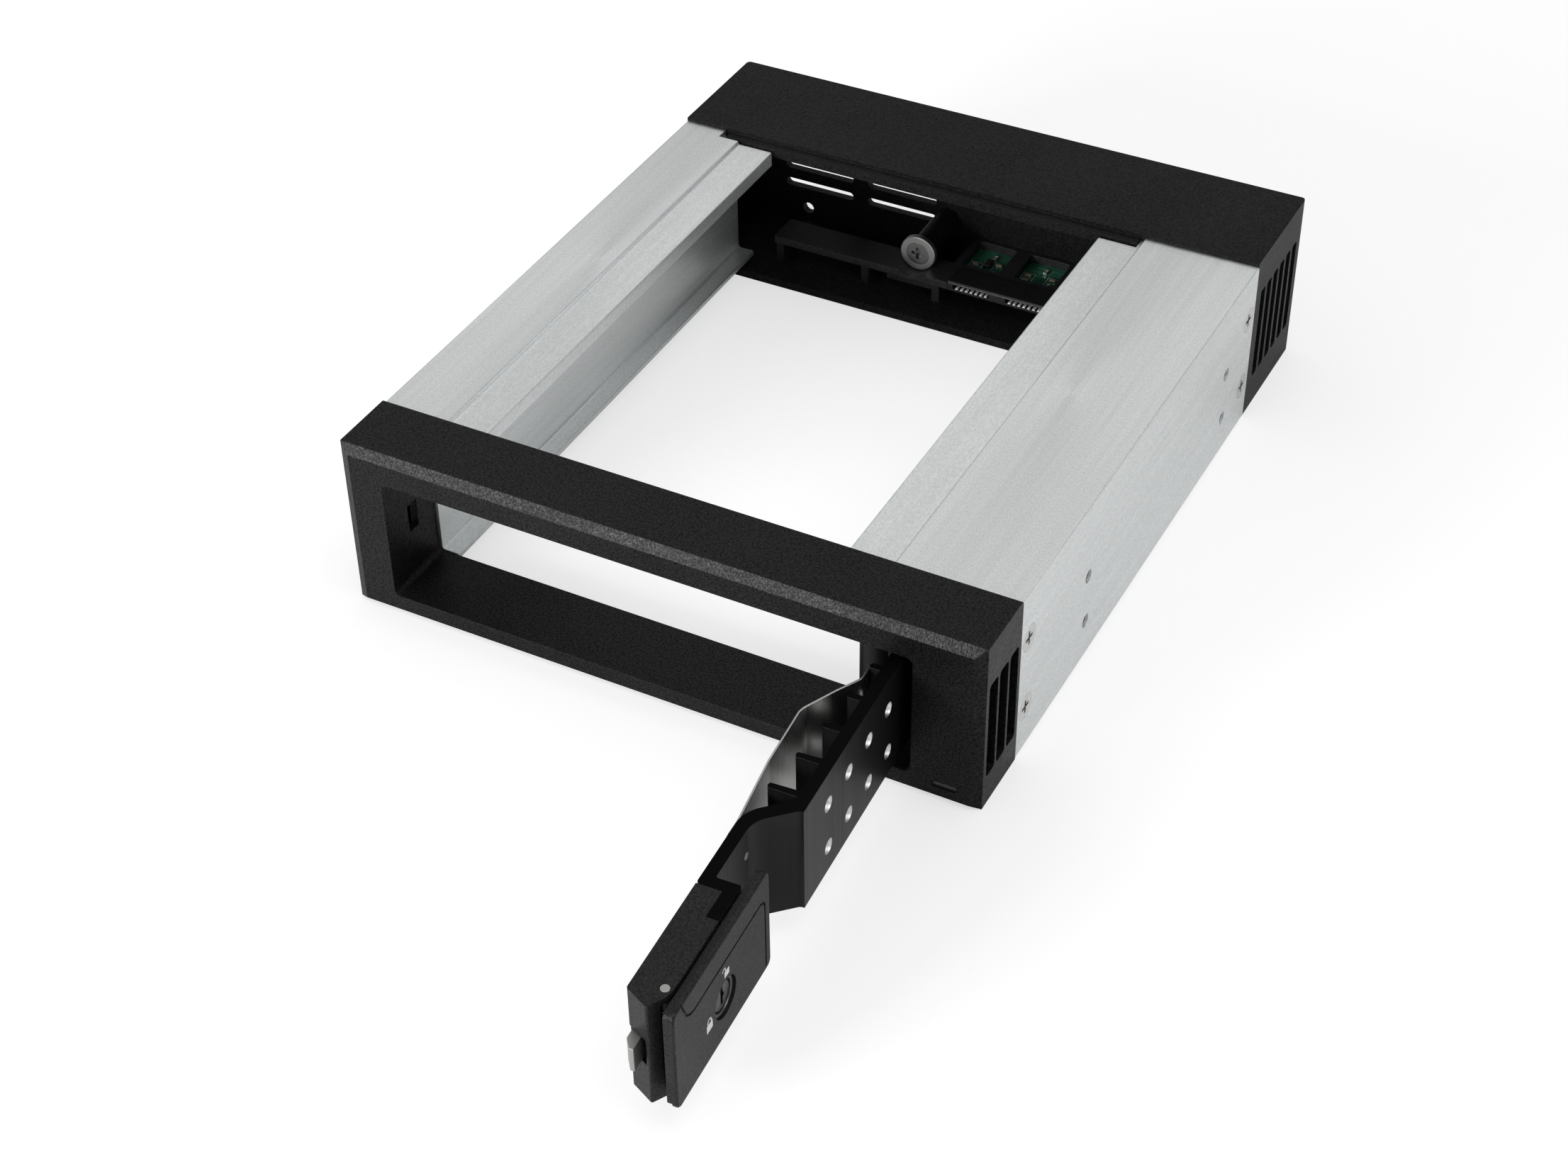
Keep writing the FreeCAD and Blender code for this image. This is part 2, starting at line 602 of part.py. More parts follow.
def rail(side):
    """Hollow extrusion with a flange over the drive and a ledge under it."""
    inner = BAY_RIGHT if side > 0 else -BAY_LEFT
    body = slab(rail_profile(side), "xz", BEZEL_DEPTH, RAIL_LENGTH + INNER_TAIL)
    low_top = RAIL_HEIGHT - FLANGE_STEP
    chamber = rounded_box(inner + RAIL_WALL, HALF - RAIL_WALL, BEZEL_DEPTH - 1, CAP_START + INNER_TAIL + 1,
                          RAIL_WALL, low_top - RAIL_WALL, 1.0, "xz")
    tail = box(inner + RAIL_WALL, HALF + 1, CAP_START, CAP_START + INNER_TAIL + 1, -1, RAIL_HEIGHT + 1)
    roof = box(0, HALF + 1, CAP_START, CAP_START + INNER_TAIL + 1, LEDGE_TOP + TAIL_HEIGHT, RAIL_HEIGHT + 1)
    notch = box(0, inner, CAP_START - FLANGE_NOTCH, CAP_START + INNER_TAIL + 1,
                LEDGE_TOP + TAIL_HEIGHT, RAIL_HEIGHT + 1)
    floor = box(0, HALF + 1, CAP_START, CAP_START + INNER_TAIL + 1, -1, PLASTIC + SEAT_GAP)
    cutters = [chamber, tail, roof, notch, floor]
    for y in (SIDE_HOLE_FRONT, SIDE_HOLE_REAR):
        for z in (SIDE_HOLE_LOW, SIDE_HOLE_LOW + SIDE_HOLE_RISE):
            boss = rod(HALF - RAIL_WALL - BOSS_WALL, y, z, BOSS_RADIUS, BOSS_WALL + RAIL_WALL / 2, RIGHT)
            body = body.fuse(boss)
            cutters.append(rod(HALF - RAIL_WALL - BOSS_WALL - 1, y, z, SIDE_HOLE_RADIUS, 10, RIGHT))
    chamber_only = chamber
    for y in (SIDE_HOLE_FRONT, SIDE_HOLE_REAR):
        for z in (SIDE_HOLE_LOW, SIDE_HOLE_LOW + SIDE_HOLE_RISE):
            boss = rod(HALF - RAIL_WALL - BOSS_WALL, y, z, BOSS_RADIUS, BOSS_WALL + 1, RIGHT)
            chamber_only = chamber_only.cut(boss)
    cutters[0] = chamber_only
    cutters += screw_cutters([p for p in FRONT_SCREWS + REAR_SCREWS if p[0] > 0])
    body = cut(body, cutters).removeSplitter()
    return body if side > 0 else mirror_x(body)


# ---- rear cap ----
def rear_cap():
    """Moulded rear end: roof, glossy floor, slotted walls, rail necks and the drive-stop post."""
    half = HALF - CAP_SIDE_INSET
    blank = box(-half, half, CAP_START, CAP_END, 0, CAP_HEIGHT)
    upright = [edge for edge in blank.Edges
               if edge.BoundBox.ZLength > CAP_HEIGHT - 1 and edge.BoundBox.YMin > CAP_END - 0.01]
    blank = blank.makeFillet(1.0, upright)
    room = box(-half + PLASTIC, half - PLASTIC, CAP_START - 1, CAP_WALL_FACE, PLASTIC, CAP_HEIGHT - PLASTIC)
    body = blank.cut(room)
    additions = [neck(side, CAP_START - NECK_DEPTH, NECK_DEPTH + 5) for side in (-1, 1)]
    for side in (-1, 1):
        outer = HALF - RAIL_WALL - SEAT_GAP
        web = box(outer - NECK_WALL, half - PLASTIC / 2, CAP_START + 0.2, CAP_START + 5,
                  34.0, CAP_HEIGHT - PLASTIC / 2)
        additions.append(web if side > 0 else mirror_x(web))
    roof_tongue = box(ROOF_TONGUE_INSET - HALF, HALF - ROOF_TONGUE_INSET,
                      CAP_START - ROOF_TONGUE_REACH, CAP_START + 6,
                      RAIL_HEIGHT - FLANGE_STEP - 1.6, CAP_HEIGHT - PLASTIC / 2)
    additions.append(roof_tongue)
    body = body.fuse(additions)
    for inner, side in ((BAY_RIGHT, 1), (-BAY_LEFT, -1)):
        clear = box(inner - SEAT_GAP, HALF + 1, CAP_START - NECK_DEPTH, CAP_START,
                    RAIL_HEIGHT - 3.0, CAP_HEIGHT + 1)
        strip = box(inner - 20, HALF - 10, CAP_START - NECK_DEPTH, CAP_START - FLANGE_NOTCH + SEAT_GAP,
                    RAIL_HEIGHT - 3.0, CAP_HEIGHT + 1)
        body = body.cut([clear, strip] if side > 0 else [mirror_x(clear), mirror_x(strip)])
    post = rod(STOP_X, STOP_FACE, STOP_Z, STOP_POST_RADIUS, CAP_END - STOP_FACE - PLASTIC / 2, BACK)
    gusset = box(STOP_X - 1.0, STOP_X + 1.0, SHELF_BACK + 1, CAP_END - PLASTIC / 2, PLASTIC / 2, STOP_Z)
    pillars = [rod(x, y, PLASTIC / 2, PILLAR_RADIUS, BOARD_BASE - PLASTIC / 2) for x, y in board_screw_places()]
    body = body.fuse([post, gusset] + pillars)
    cutters = [rod(STOP_X, STOP_FACE - 1, STOP_Z, SCREW_SHANK_RADIUS, 11, BACK)]
    for x, y in board_screw_places():
        cutters.append(rod(x, y, PLASTIC, SMALL_SHANK_RADIUS, BOARD_TOP))
    cutters += cap_side_vents()
    cutters += cap_rear_slots()
    cutters += screw_cutters(REAR_SCREWS)
    cutters += rear_socket_windows()
    return cut(body, cutters).removeSplitter()


def cap_side_vents():
    """Six tall slots through each side wall of the rear cap."""
    cutters = []
    for i in range(CAP_VENT_COUNT):
        y0 = CAP_START + CAP_VENT_FIRST + i * CAP_VENT_PITCH
        vent = rounded_box(HALF - PLASTIC - 2, HALF + 1, y0, y0 + CAP_VENT_WIDTH,
                           CAP_VENT_LOW, CAP_VENT_HIGH, 0.8, "yz")
        cutters += [vent, mirror_x(vent)]
    return cutters


def cap_rear_slots():
    """Two columns of long slots through the rear wall, and one small fixing hole."""
    cutters = []
    for column in range(2):
        x0 = CAP_SLOT_INSET - HALF + column * CAP_SLOT_STEP
        for row in range(CAP_SLOT_ROWS):
            z0 = CAP_SLOT_LOW + row * CAP_SLOT_PITCH
            cutters.append(rounded_box(x0, x0 + CAP_SLOT_LENGTH, CAP_WALL_FACE - 1, CAP_END + 1,
                                       z0, z0 + CAP_SLOT_HEIGHT, CAP_SLOT_HEIGHT / 2 - 0.01, "xz"))
    hole_x = CAP_HOLE_INSET - HALF
    cutters.append(rod(hole_x, CAP_WALL_FACE - 1, CAP_HOLE_Z, CAP_HOLE_RADIUS, PLASTIC + 2, BACK))
    return cutters


def rear_socket_windows():
    """Openings in the rear wall for the data and power sockets."""
    windows = []
    for x, width, _ in REAR_SOCKETS:
        windows.append(box(x - width / 2 - 0.2, x + width / 2 + 0.2, CAP_WALL_FACE - 1, CAP_END + 1,
                           BOARD_TOP - 0.2, BOARD_TOP + SOCKET_HEIGHT + 0.2))
    return windows


# ---- backplane ----
def connector_shelf():
    """Long shelf that holds the drive connector, with a windowed cover over the board behind it."""
    top = box(SHELF_LEFT, SHELF_RIGHT, CONNECTOR_FACE_Y, SHELF_BACK, SHELF_TOP - PLASTIC, SHELF_TOP)
    cover = box(COVER_LEFT, COVER_RIGHT, SHELF_BACK - 1, BOARD_REAR, SHELF_TOP - PLASTIC, SHELF_TOP)
    legs = []
    for x in (SHELF_LEFT, SHELF_LEG_X, COVER_LEFT - 2.4):
        legs.append(box(x, x + SHELF_LEG, CONNECTOR_FACE_Y + 1.0, SHELF_BACK, PLASTIC, SHELF_TOP - PLASTIC / 2))
    reach = STOP_WASHER_RADIUS + 2.4
    bridge = box(STOP_X - reach, STOP_X + reach, CONNECTOR_FACE_Y + 1.0, SHELF_BACK,
                 SHELF_TOP - 2 * PLASTIC, SHELF_TOP)
    body = fuse([top, cover, bridge] + legs)
    half = CONNECTOR_WIDTH / 2 + SEAT_GAP
    cutters = [box(CONNECTOR_X - half, CONNECTOR_X + half, CONNECTOR_FACE_Y - 1,
                   CONNECTOR_FACE_Y + CONNECTOR_DEPTH + SEAT_GAP, SHELF_TOP - PLASTIC - 1, SHELF_TOP + 1)]
    cutters.append(rod(STOP_X, CONNECTOR_FACE_Y - 1, STOP_Z, STOP_WASHER_RADIUS + 0.2, SHELF_DEPTH + 2, BACK))
    first = COVER_LEFT + BOARD_WINDOW_START
    second = first + BOARD_WINDOW_STEP
    for x0, x1 in ((first, first + BOARD_WINDOW_WIDTH), (second, COVER_RIGHT - BOARD_WINDOW_EDGE)):
        cutters.append(rounded_box(x0, x1, SHELF_BACK + 0.6, BOARD_REAR - 1.2, SHELF_TOP - PLASTIC - 1,
                                   SHELF_TOP + 1, 0.6, "xy"))
    return cut(body, cutters).removeSplitter()


def backplane_board():
    """Board behind the shelf, screwed to two pillars of the cap's floor."""
    board = box(BOARD_LEFT, BOARD_RIGHT, CONNECTOR_FACE_Y + 2.5, BOARD_REAR, BOARD_BASE, BOARD_TOP)
    bore = SMALL_SHANK_RADIUS + 0.1
    holes = [rod(x, y, BOARD_BASE - 1, bore, BOARD_THICK + 2) for x, y in board_screw_places()]
    return cut(board, holes)


def board_screw_places():
    """Where the board is screwed down."""
    return [(COVER_RIGHT + 2 * PILLAR_RADIUS, SHELF_BACK + PAN_HEAD_RADIUS + 0.2),
            (BOARD_RIGHT - 2 * PILLAR_RADIUS, SHELF_BACK - PILLAR_RADIUS)]


def board_screws():
    """Two small screws with domed heads."""
    return Part.makeCompound([pan_screw(x, y, BOARD_TOP, UP * -1, 4.6) for x, y in board_screw_places()])


def contact_row(centre, count):
    """Middle of each contact in a row."""
    return [centre + (i - (count - 1) / 2) * CONTACT_PITCH for i in range(count)]


def receptacle_rows():
    """Centre and count of the signal row and of the power row, the key gap between them."""
    both = SIGNAL_CONTACTS + POWER_CONTACTS - 2
    start = CONNECTOR_X - (both * CONTACT_PITCH + KEY_GAP + CONTACT_PITCH) / 2
    signal = start + (SIGNAL_CONTACTS - 1) / 2 * CONTACT_PITCH
    power = start + (SIGNAL_CONTACTS - 1) * CONTACT_PITCH + KEY_GAP + CONTACT_PITCH
    power += (POWER_CONTACTS - 1) / 2 * CONTACT_PITCH
    return ((signal, SIGNAL_CONTACTS), (power, POWER_CONTACTS))


def drive_receptacle():
    """Block that the drive plugs on to, with one slot for each row of contacts."""
    block = box(CONNECTOR_X - CONNECTOR_WIDTH / 2, CONNECTOR_X + CONNECTOR_WIDTH / 2, CONNECTOR_FACE_Y,
                CONNECTOR_FACE_Y + CONNECTOR_DEPTH, BOARD_TOP, BOARD_TOP + CONNECTOR_HEIGHT)
    leads = [edge for edge in block.Edges if edge.BoundBox.YMax < CONNECTOR_FACE_Y + 0.01
             and edge.BoundBox.ZMin > BOARD_TOP + CONNECTOR_HEIGHT - 0.01]
    block = block.makeChamfer(0.4, leads)
    cutters = []
    for centre, count in receptacle_rows():
        half = count * CONTACT_PITCH / 2 + 0.35
        cutters.append(box(centre - half, centre + half, CONNECTOR_FACE_Y - 1, CONNECTOR_FACE_Y + 5.0,
                           CONTACT_Z - 0.5, CONTACT_Z + 0.75))
    return cut(block, cutters)


def receptacle_contacts(row):
    """Spring contacts of one row, lying in the slot's floor."""
    centre, count = receptacle_rows()[row]
    bars = []
    for x in contact_row(centre, count):
        bar = box(x - CONTACT_WIDTH / 2, x + CONTACT_WIDTH / 2, CONNECTOR_FACE_Y + 0.15, CONNECTOR_FACE_Y + 5.0,
                  CONTACT_Z - 0.5, CONTACT_Z - 0.5 + CONTACT_THICK)
        bars.append(bar)
    return Part.makeCompound(bars)


def rear_socket(place):
    """Socket on the board, open to the back, with a tongue that carries its contacts."""
    x, width, count = REAR_SOCKETS[place]
    start = CAP_END - SOCKET_DEPTH
    body = box(x - width / 2, x + width / 2, start, CAP_END - 0.2, BOARD_TOP, BOARD_TOP + SOCKET_HEIGHT)
    room = box(x - width / 2 + SOCKET_WALL, x + width / 2 - SOCKET_WALL, start + 2.0, CAP_END + 1,
               BOARD_TOP + SOCKET_WALL, BOARD_TOP + SOCKET_HEIGHT - SOCKET_WALL)
    half = count * CONTACT_PITCH / 2 + 0.4
    tongue = box(x - half, x + half, start + 1.0, CAP_END - 0.8, socket_tongue_top() - 1.0, socket_tongue_top())
    top = socket_tongue_top()
    key = box(x + half - 1.0, x + half, start + 1.0, CAP_END - 0.8, top - 2.0, top)
    return body.cut(room).fuse([tongue, key]).removeSplitter()


def socket_tongue_top():
    """Upper face of the tongue inside a rear socket."""
    return BOARD_TOP + SOCKET_HEIGHT - SOCKET_WALL - 0.9


def rear_contacts():
    """Flat contacts on the tongues of both rear sockets."""
    bars = []
    for x, _, count in REAR_SOCKETS:
        for place in contact_row(x, count):
            bars.append(box(place - CONTACT_WIDTH / 2, place + CONTACT_WIDTH / 2, CAP_END - SOCKET_DEPTH + 2.2,
                            CAP_END - 1.2, socket_tongue_top(), socket_tongue_top() + CONTACT_THICK))
    return Part.makeCompound(bars)


def stop_washer():
    """Broad countersunk washer that the drive's end meets."""
    start = STOP_FACE - STOP_WASHER_THICK
    disc = rod(STOP_X, start, STOP_Z, STOP_WASHER_RADIUS, STOP_WASHER_THICK, BACK)
    rims = [edge for edge in disc.Edges if edge.Closed]
    disc = disc.makeChamfer(0.2, rims)
    return disc.cut(countersunk(STOP_X, start, STOP_Z, BACK, 6))


def stop_screw():
    """Countersunk screw that holds the washer on its post."""
    start = STOP_FACE - STOP_WASHER_THICK
    screw = countersunk(STOP_X, start, STOP_Z, BACK, 10, 0.03)
    return screw.cut(cross_recess(STOP_X, start, STOP_Z, BACK, SCREW_HEAD_RADIUS * 1.1, 1.1))


# ---- door hinge ----
def hinge_pin(low, high):
    """Steel pin between a seat in the bezel and a bore in the door."""
    return rod(HINGE_X, HINGE_Y, low, HINGE_PIN_RADIUS, high - low)


def hinge_bushes():
    """Plain rings that carry the door between the bezel's bosses."""
    rings = []
    for z0, z1 in ((OPENING_BASE, DOOR_BASE - HINGE_BUSH_GAP), (DOOR_TOP + HINGE_BUSH_GAP, OPENING_TOP)):
        ring = rod(HINGE_X, HINGE_Y, z0, HINGE_BOSS_RADIUS - 0.6, z1 - z0)
        rings.append(ring.cut(rod(HINGE_X, HINGE_Y, z0 - 1, HINGE_PIN_RADIUS, z1 - z0 + 2)))
    return Part.makeCompound(rings)


# ---- door ----
def door_profile():
    """Corners of the extruded section: panel, hand recess and the flange that carries the latch housing."""
    return [
        (CORNER_X, DOOR_SET_BACK, 0), (HINGE_X + HEEL_RADIUS * 0.6, DOOR_SET_BACK, 0),
        (HINGE_X + HEEL_RADIUS * 0.6, PANEL_BACK, 0), (CORNER_X + 2.4, PANEL_BACK, 4.0),
        (CORNER_X - 4.1, RECESS_BACK, 7.0), (RECESS_BACK_X, RECESS_BACK, 0.8), (RECESS_BACK_X, FLANGE_BACK, 0),
        (FLANGE_END_X, FLANGE_BACK, 0), (FLANGE_END_X, FLANGE_FRONT, 0.3), (RECESS_END_X, FLANGE_FRONT, 0.3),
        (RECESS_END_X, RECESS_FRONT, 0.5), (CORNER_X - 5.7, RECESS_FRONT, 6.0),
        (CORNER_X, DOOR_SET_BACK + 0.8, 1.5),
    ]


def fin_middle(i):
    """Middle of a fin along the door."""
    return FIN_FIRST_X + i * FIN_PITCH


def fin_tip(i):
    """Depth that a fin reaches to, falling from the first to the last."""
    share = (1 - i / (FIN_COUNT - 1)) ** 1.4
    return PANEL_BACK + FIN_LAST_HEIGHT + (FIN_FIRST_HEIGHT - FIN_LAST_HEIGHT) * share


def door_fins():
    """Full-height fins on the panel's back, wider at the root, each with a rounded tip."""
    fins = []
    for i in range(FIN_COUNT):
        middle = fin_middle(i)
        root = FIN_WALL / 2 + 0.15
        tip = FIN_WALL / 2
        corners = [(middle - root, PANEL_BACK - 0.5, 0), (middle + root, PANEL_BACK - 0.5, 0),
                   (middle + tip, fin_tip(i), 0.55), (middle - tip, fin_tip(i), 0.55)]
        fins.append(slab(corners, "xy", DOOR_BASE, DOOR_HEIGHT))
    return fins


def door_heel():
    """Round heel that closes the gap beside the hinge, its web, and the hinge boss."""
    base = Vector(HINGE_X, HINGE_Y, DOOR_BASE)
    sweep = HEEL_LAST_ANGLE - HEEL_FIRST_ANGLE
    ring = Part.makeCylinder(HEEL_RADIUS, DOOR_HEIGHT, base, UP, sweep)
    ring = ring.cut(Part.makeCylinder(HEEL_RADIUS - HEEL_WALL, DOOR_HEIGHT, base, UP))
    ring.rotate(base, UP, HEEL_FIRST_ANGLE)
    ring = ring.cut(box(HINGE_X, HINGE_X + 20, -10, DOOR_SET_BACK, 0, BEZEL_HEIGHT))
    web = box(HINGE_X, HINGE_X + HEEL_RADIUS - HEEL_WALL / 2, HINGE_Y - 0.9, HINGE_Y + 0.9, DOOR_BASE, DOOR_TOP)
    web.rotate(base, UP, -29)
    strut = box(HINGE_X - 1.8, HINGE_X + 1.8, PANEL_BACK - 0.5, HINGE_Y, DOOR_BASE, DOOR_TOP)
    boss = rod(HINGE_X, HINGE_Y, DOOR_BASE, HINGE_BOSS_RADIUS, DOOR_HEIGHT)
    return [ring, web, strut, boss]


def door_vent_holes():
    """Two rows of drilled holes, one pair between each two fins."""
    holes = []
    for i in range(1, FIN_COUNT):
        x = fin_middle(i) - VENT_OFFSET
        for side in (-1, 1):
            z = DOOR_MID + VENT_ROW_LIFT + side * VENT_ROW_GAP / 2
            holes.append(rod(x, DOOR_SET_BACK - 1, z, VENT_HOLE_RADIUS, DOOR_WALL + 1.4, BACK))
    return holes


def door_frame():
    """Extruded door: one section along the hinge axis, bored for the pins, drilled for air."""
    body = slab(door_profile(), "xy", DOOR_BASE, DOOR_HEIGHT)
    body = body.fuse(door_fins() + door_heel())
    bore = HINGE_PIN_RADIUS + PIN_CLEARANCE
    depth = HINGE_PIN_ENTRY + HINGE_BUSH_GAP
    cutters = [rod(HINGE_X, HINGE_Y, z, bore, depth) for z in (DOOR_BASE, DOOR_TOP - depth)]
    cutters += door_vent_holes()
    cutters += [rod(x, RECESS_FRONT - 1, z, RIVET_RADIUS, DOOR_WALL + 2, BACK) for x, z in rivet_places()]
    cutters += [countersunk(x, FLANGE_FRONT, z, BACK, 12) for x, z in housing_screw_places()]
    return cut(body, cutters).removeSplitter()


def ribbon(path, thickness):
    """Outline corners of a strip of even thickness along a path of (a, b, radius)."""
    sides = ([], [])
    last = len(path) - 1
    for i, (a, b, radius) in enumerate(path):
        here = Vector(a, b, 0)
        before = Vector(*path[max(i - 1, 0)][:2], 0)
        after = Vector(*path[min(i + 1, last)][:2], 0)
        into = (here - before).normalize() if i > 0 else (after - here).normalize()
        out = (after - here).normalize() if i < last else into
        normal = Vector(-into.y - out.y, into.x + out.x, 0).normalize()
        stretch = thickness / 2 / math.cos(into.getAngle(out) / 2)
        turn = into.x * out.y - into.y * out.x
        for side, sign in ((sides[0], 1), (sides[1], -1)):
            place = here + normal * (stretch * sign)
            bend = radius - sign * math.copysign(thickness / 2, turn) if radius else 0
            side.append((place.x, place.y, bend))
    return sides[0] + sides[1][::-1]


def rivet_places():
    """Where the leaf spring is riveted to the back of the hand recess."""
    return [(CORNER_X - RIVET_INSET, DOOR_MID + side * DOOR_HEIGHT / 4) for side in (-1, 1)]


def leaf_spring():
    """Bowed strip that presses the drive home, riveted at one end and resting on the last fin."""
    seat = RECESS_BACK + SPRING_THICK / 2
    rest = fin_tip(FIN_COUNT - 1) + SPRING_THICK / 2
    last = fin_middle(FIN_COUNT - 1)
    path = [
        (CORNER_X - 10.3, seat, 0), (CORNER_X - 6.2, seat, 8.0), (SPRING_NEAR_X, SPRING_CREST - 0.4, 12.0),
        (SPRING_CREST_X, SPRING_CREST, 5.0), (SPRING_FALL_X, SPRING_SHOULDER, 6.0),
        (last - 3.6, rest, 3.0), (last + 1.4, rest, 0),
    ]
    strip = slab(ribbon(path, SPRING_THICK), "xy", DOOR_BASE + SPRING_INSET, DOOR_HEIGHT - 2 * SPRING_INSET)
    holes = [rod(x, RECESS_BACK - 1, z, RIVET_RADIUS, 3, BACK) for x, z in rivet_places()]
    return cut(strip, holes)


def spring_rivets():
    """Two rivets with flat round heads on the spring."""
    rivets = []
    for x, z in rivet_places():
        shank = rod(x, RECESS_FRONT, z, RIVET_RADIUS, DOOR_WALL + SPRING_THICK, BACK)
        rivets.append(shank.fuse(rod(x, RECESS_BACK + SPRING_THICK, z, RIVET_HEAD, 0.5, BACK)))
    return Part.makeCompound(rivets)


# ---- latch housing ----
def housing_screw_places():
    """Where the latch housing is screwed to the door's flange."""
    middle = (RECESS_BACK_X + FLANGE_END_X) / 2
    return [(middle, DOOR_MID + side * DOOR_HEIGHT / 3.4) for side in (-1, 1)]


def housing_screws():
    """Two countersunk screws through the flange, with cross recesses."""
    screws = []
    for x, z in housing_screw_places():
        screw = countersunk(x, FLANGE_FRONT, z, BACK, FLANGE_THICK + 3.5, 0.03)
        screws.append(screw.cut(cross_recess(x, FLANGE_FRONT, z, BACK, SCREW_HEAD_RADIUS * 1.1, 1.1)))
    return Part.makeCompound(screws)


def latch_housing():
    """Moulded end of the door: a pocket for the lever and lock, a channel for the bolt, a sloped end."""
    corners = [
        (RECESS_BACK_X, RECESS_BACK, 0), (HOUSING_FAR_X + HOUSING_SLOPE, RECESS_BACK, 0.6),
        (HOUSING_FAR_X, HOUSING_LIP_Y, 0.4), (HANDLE_PIN_X - 1.3, FLANGE_FRONT + 0.2, 5.0),
        (HANDLE_PIN_X + 2.5, FLANGE_FRONT, 0), (FLANGE_END_X, FLANGE_FRONT, 0), (FLANGE_END_X, FLANGE_BACK, 0),
        (RECESS_BACK_X, FLANGE_BACK, 0),
    ]
    body = slab(corners, "xy", DOOR_BASE, DOOR_HEIGHT)
    pocket = rounded_box(POCKET_FAR_X, FLANGE_END_X + 0.3, FLANGE_FRONT - 1, HOUSING_FLOOR,
                         POCKET_BASE, POCKET_TOP, 0.8, "xz")
    gap = BOLT_GAP
    channel = box(HOUSING_FAR_X - 1, BOLT_TAIL_X + CRANK_REACH * 0.5, HOUSING_FLOOR - 0.5, BOLT_BACK + gap,
                  DOOR_MID - BOLT_HEIGHT / 2 - gap, DOOR_MID + BOLT_HEIGHT / 2 + gap)
    mouth = box(HOUSING_FAR_X - 1, POCKET_FAR_X + 0.8, HOUSING_LIP_Y + 0.6, RECESS_BACK + 1,
                DOOR_MID - BOLT_HEIGHT / 2 - 0.3, DOOR_MID + BOLT_HEIGHT / 2 + 0.3)
    pin = rod(HANDLE_PIN_X, HANDLE_PIN_Y, DOOR_BASE - 1, HANDLE_PIN_RADIUS, DOOR_HEIGHT + 2)
    cutters = [pocket, channel, mouth, pin]
    cutters += [rod(x, FLANGE_BACK - 1, z, SCREW_SHANK_RADIUS, 4.6, BACK) for x, z in housing_screw_places()]
    cutters += [rod(x, HOUSING_FLOOR - 1, z, 0.6, 3.0, BACK) for x, z in retainer_screw_places()]
    return cut(body, cutters).removeSplitter()


def retainer_screw_places():
    """Where the bolt's retaining plate is fixed, above and below the channel."""
    middle = (RETAINER_START + BOLT_TAIL_X) / 2 + 0.6
    return [(middle, DOOR_MID + side * (BOLT_HEIGHT / 2 + 1.7)) for side in (-1, 1)]


def bolt_retainer():
    """Thin plate over the channel that keeps the bolt in its guide."""
    half = BOLT_HEIGHT / 2 + 3.0
    plate = rounded_box(RETAINER_START, BOLT_TAIL_X + 2.0, HOUSING_FLOOR - RETAINER_THICK, HOUSING_FLOOR,
                        DOOR_MID - half, DOOR_MID + half, 0.8, "xz")
    return cut(plate, [rod(x, 0, z, 0.6, 20, BACK) for x, z in retainer_screw_places()])


def retainer_screws():
    """Two small pan screws on the retaining plate."""
    screws = []
    for x, z in retainer_screw_places():
        head = rod(x, HOUSING_FLOOR - RETAINER_THICK - 0.6, z, 1.1, 0.6, BACK)
        screws.append(head.fuse(rod(x, HOUSING_FLOOR - RETAINER_THICK, z, 0.6, 2.4, BACK)))
    return Part.makeCompound(screws)


def handle_pin():
    """Steel pin through the housing and the lever's barrels."""
    pin = rod(HANDLE_PIN_X, HANDLE_PIN_Y, DOOR_BASE, HANDLE_PIN_RADIUS, DOOR_HEIGHT)
    rims = [edge for edge in pin.Edges if edge.Closed and abs(edge.BoundBox.ZLength) < 0.01]
    return pin.makeChamfer(0.15, rims)


def handle_spring():
    """Torsion spring on the handle pin: coils, a leg on the housing floor and a leg behind the lever."""
    pitch = COIL_HEIGHT / COIL_TURNS
    base = Vector(HANDLE_PIN_X, HANDLE_PIN_Y, SPRING_BASE)
    helix = Part.makeHelix(pitch, COIL_HEIGHT, COIL_RADIUS)
    start = Vector(COIL_RADIUS, 0, 0)
    ring = Part.makeCircle(COIL_WIRE, start, Vector(0, 2 * math.pi * COIL_RADIUS, pitch))
    coil = Part.Wire(helix.Edges).makePipeShell([Part.Wire(ring)], True, True)
    coil.translate(base)
    back_leg = rod(base.x + COIL_RADIUS, base.y, base.z, COIL_WIRE, HOUSING_FLOOR - base.y, FRONT)
    back_leg.rotate(base + Vector(COIL_RADIUS, 0, 0), UP, 165)
    front_leg = rod(base.x + COIL_RADIUS, base.y, base.z + COIL_HEIGHT, COIL_WIRE, 4.0, Vector(1, -0.28, 0))
    return coil.fuse([back_leg, front_leg])


# ---- handle ----
def handle_groove():
    """Shallow line cut round the grip area of the handle's face."""
    edge = HANDLE_TOP
    path = [
        (HANDLE_FAR_X + 2.6, edge + 1.0, 0), (HANDLE_FAR_X + 5.2, edge - 5.5, 4.0),
        (HANDLE_NEAR_X - 2.1, edge - 5.5, 2.0), (HANDLE_NEAR_X - 2.1, HANDLE_BASE + 1.1, 0),
    ]
    return slab(ribbon(path, GROOVE_WIDTH), "xz", HANDLE_FRONT - 1, 1 + GROOVE_DEPTH)


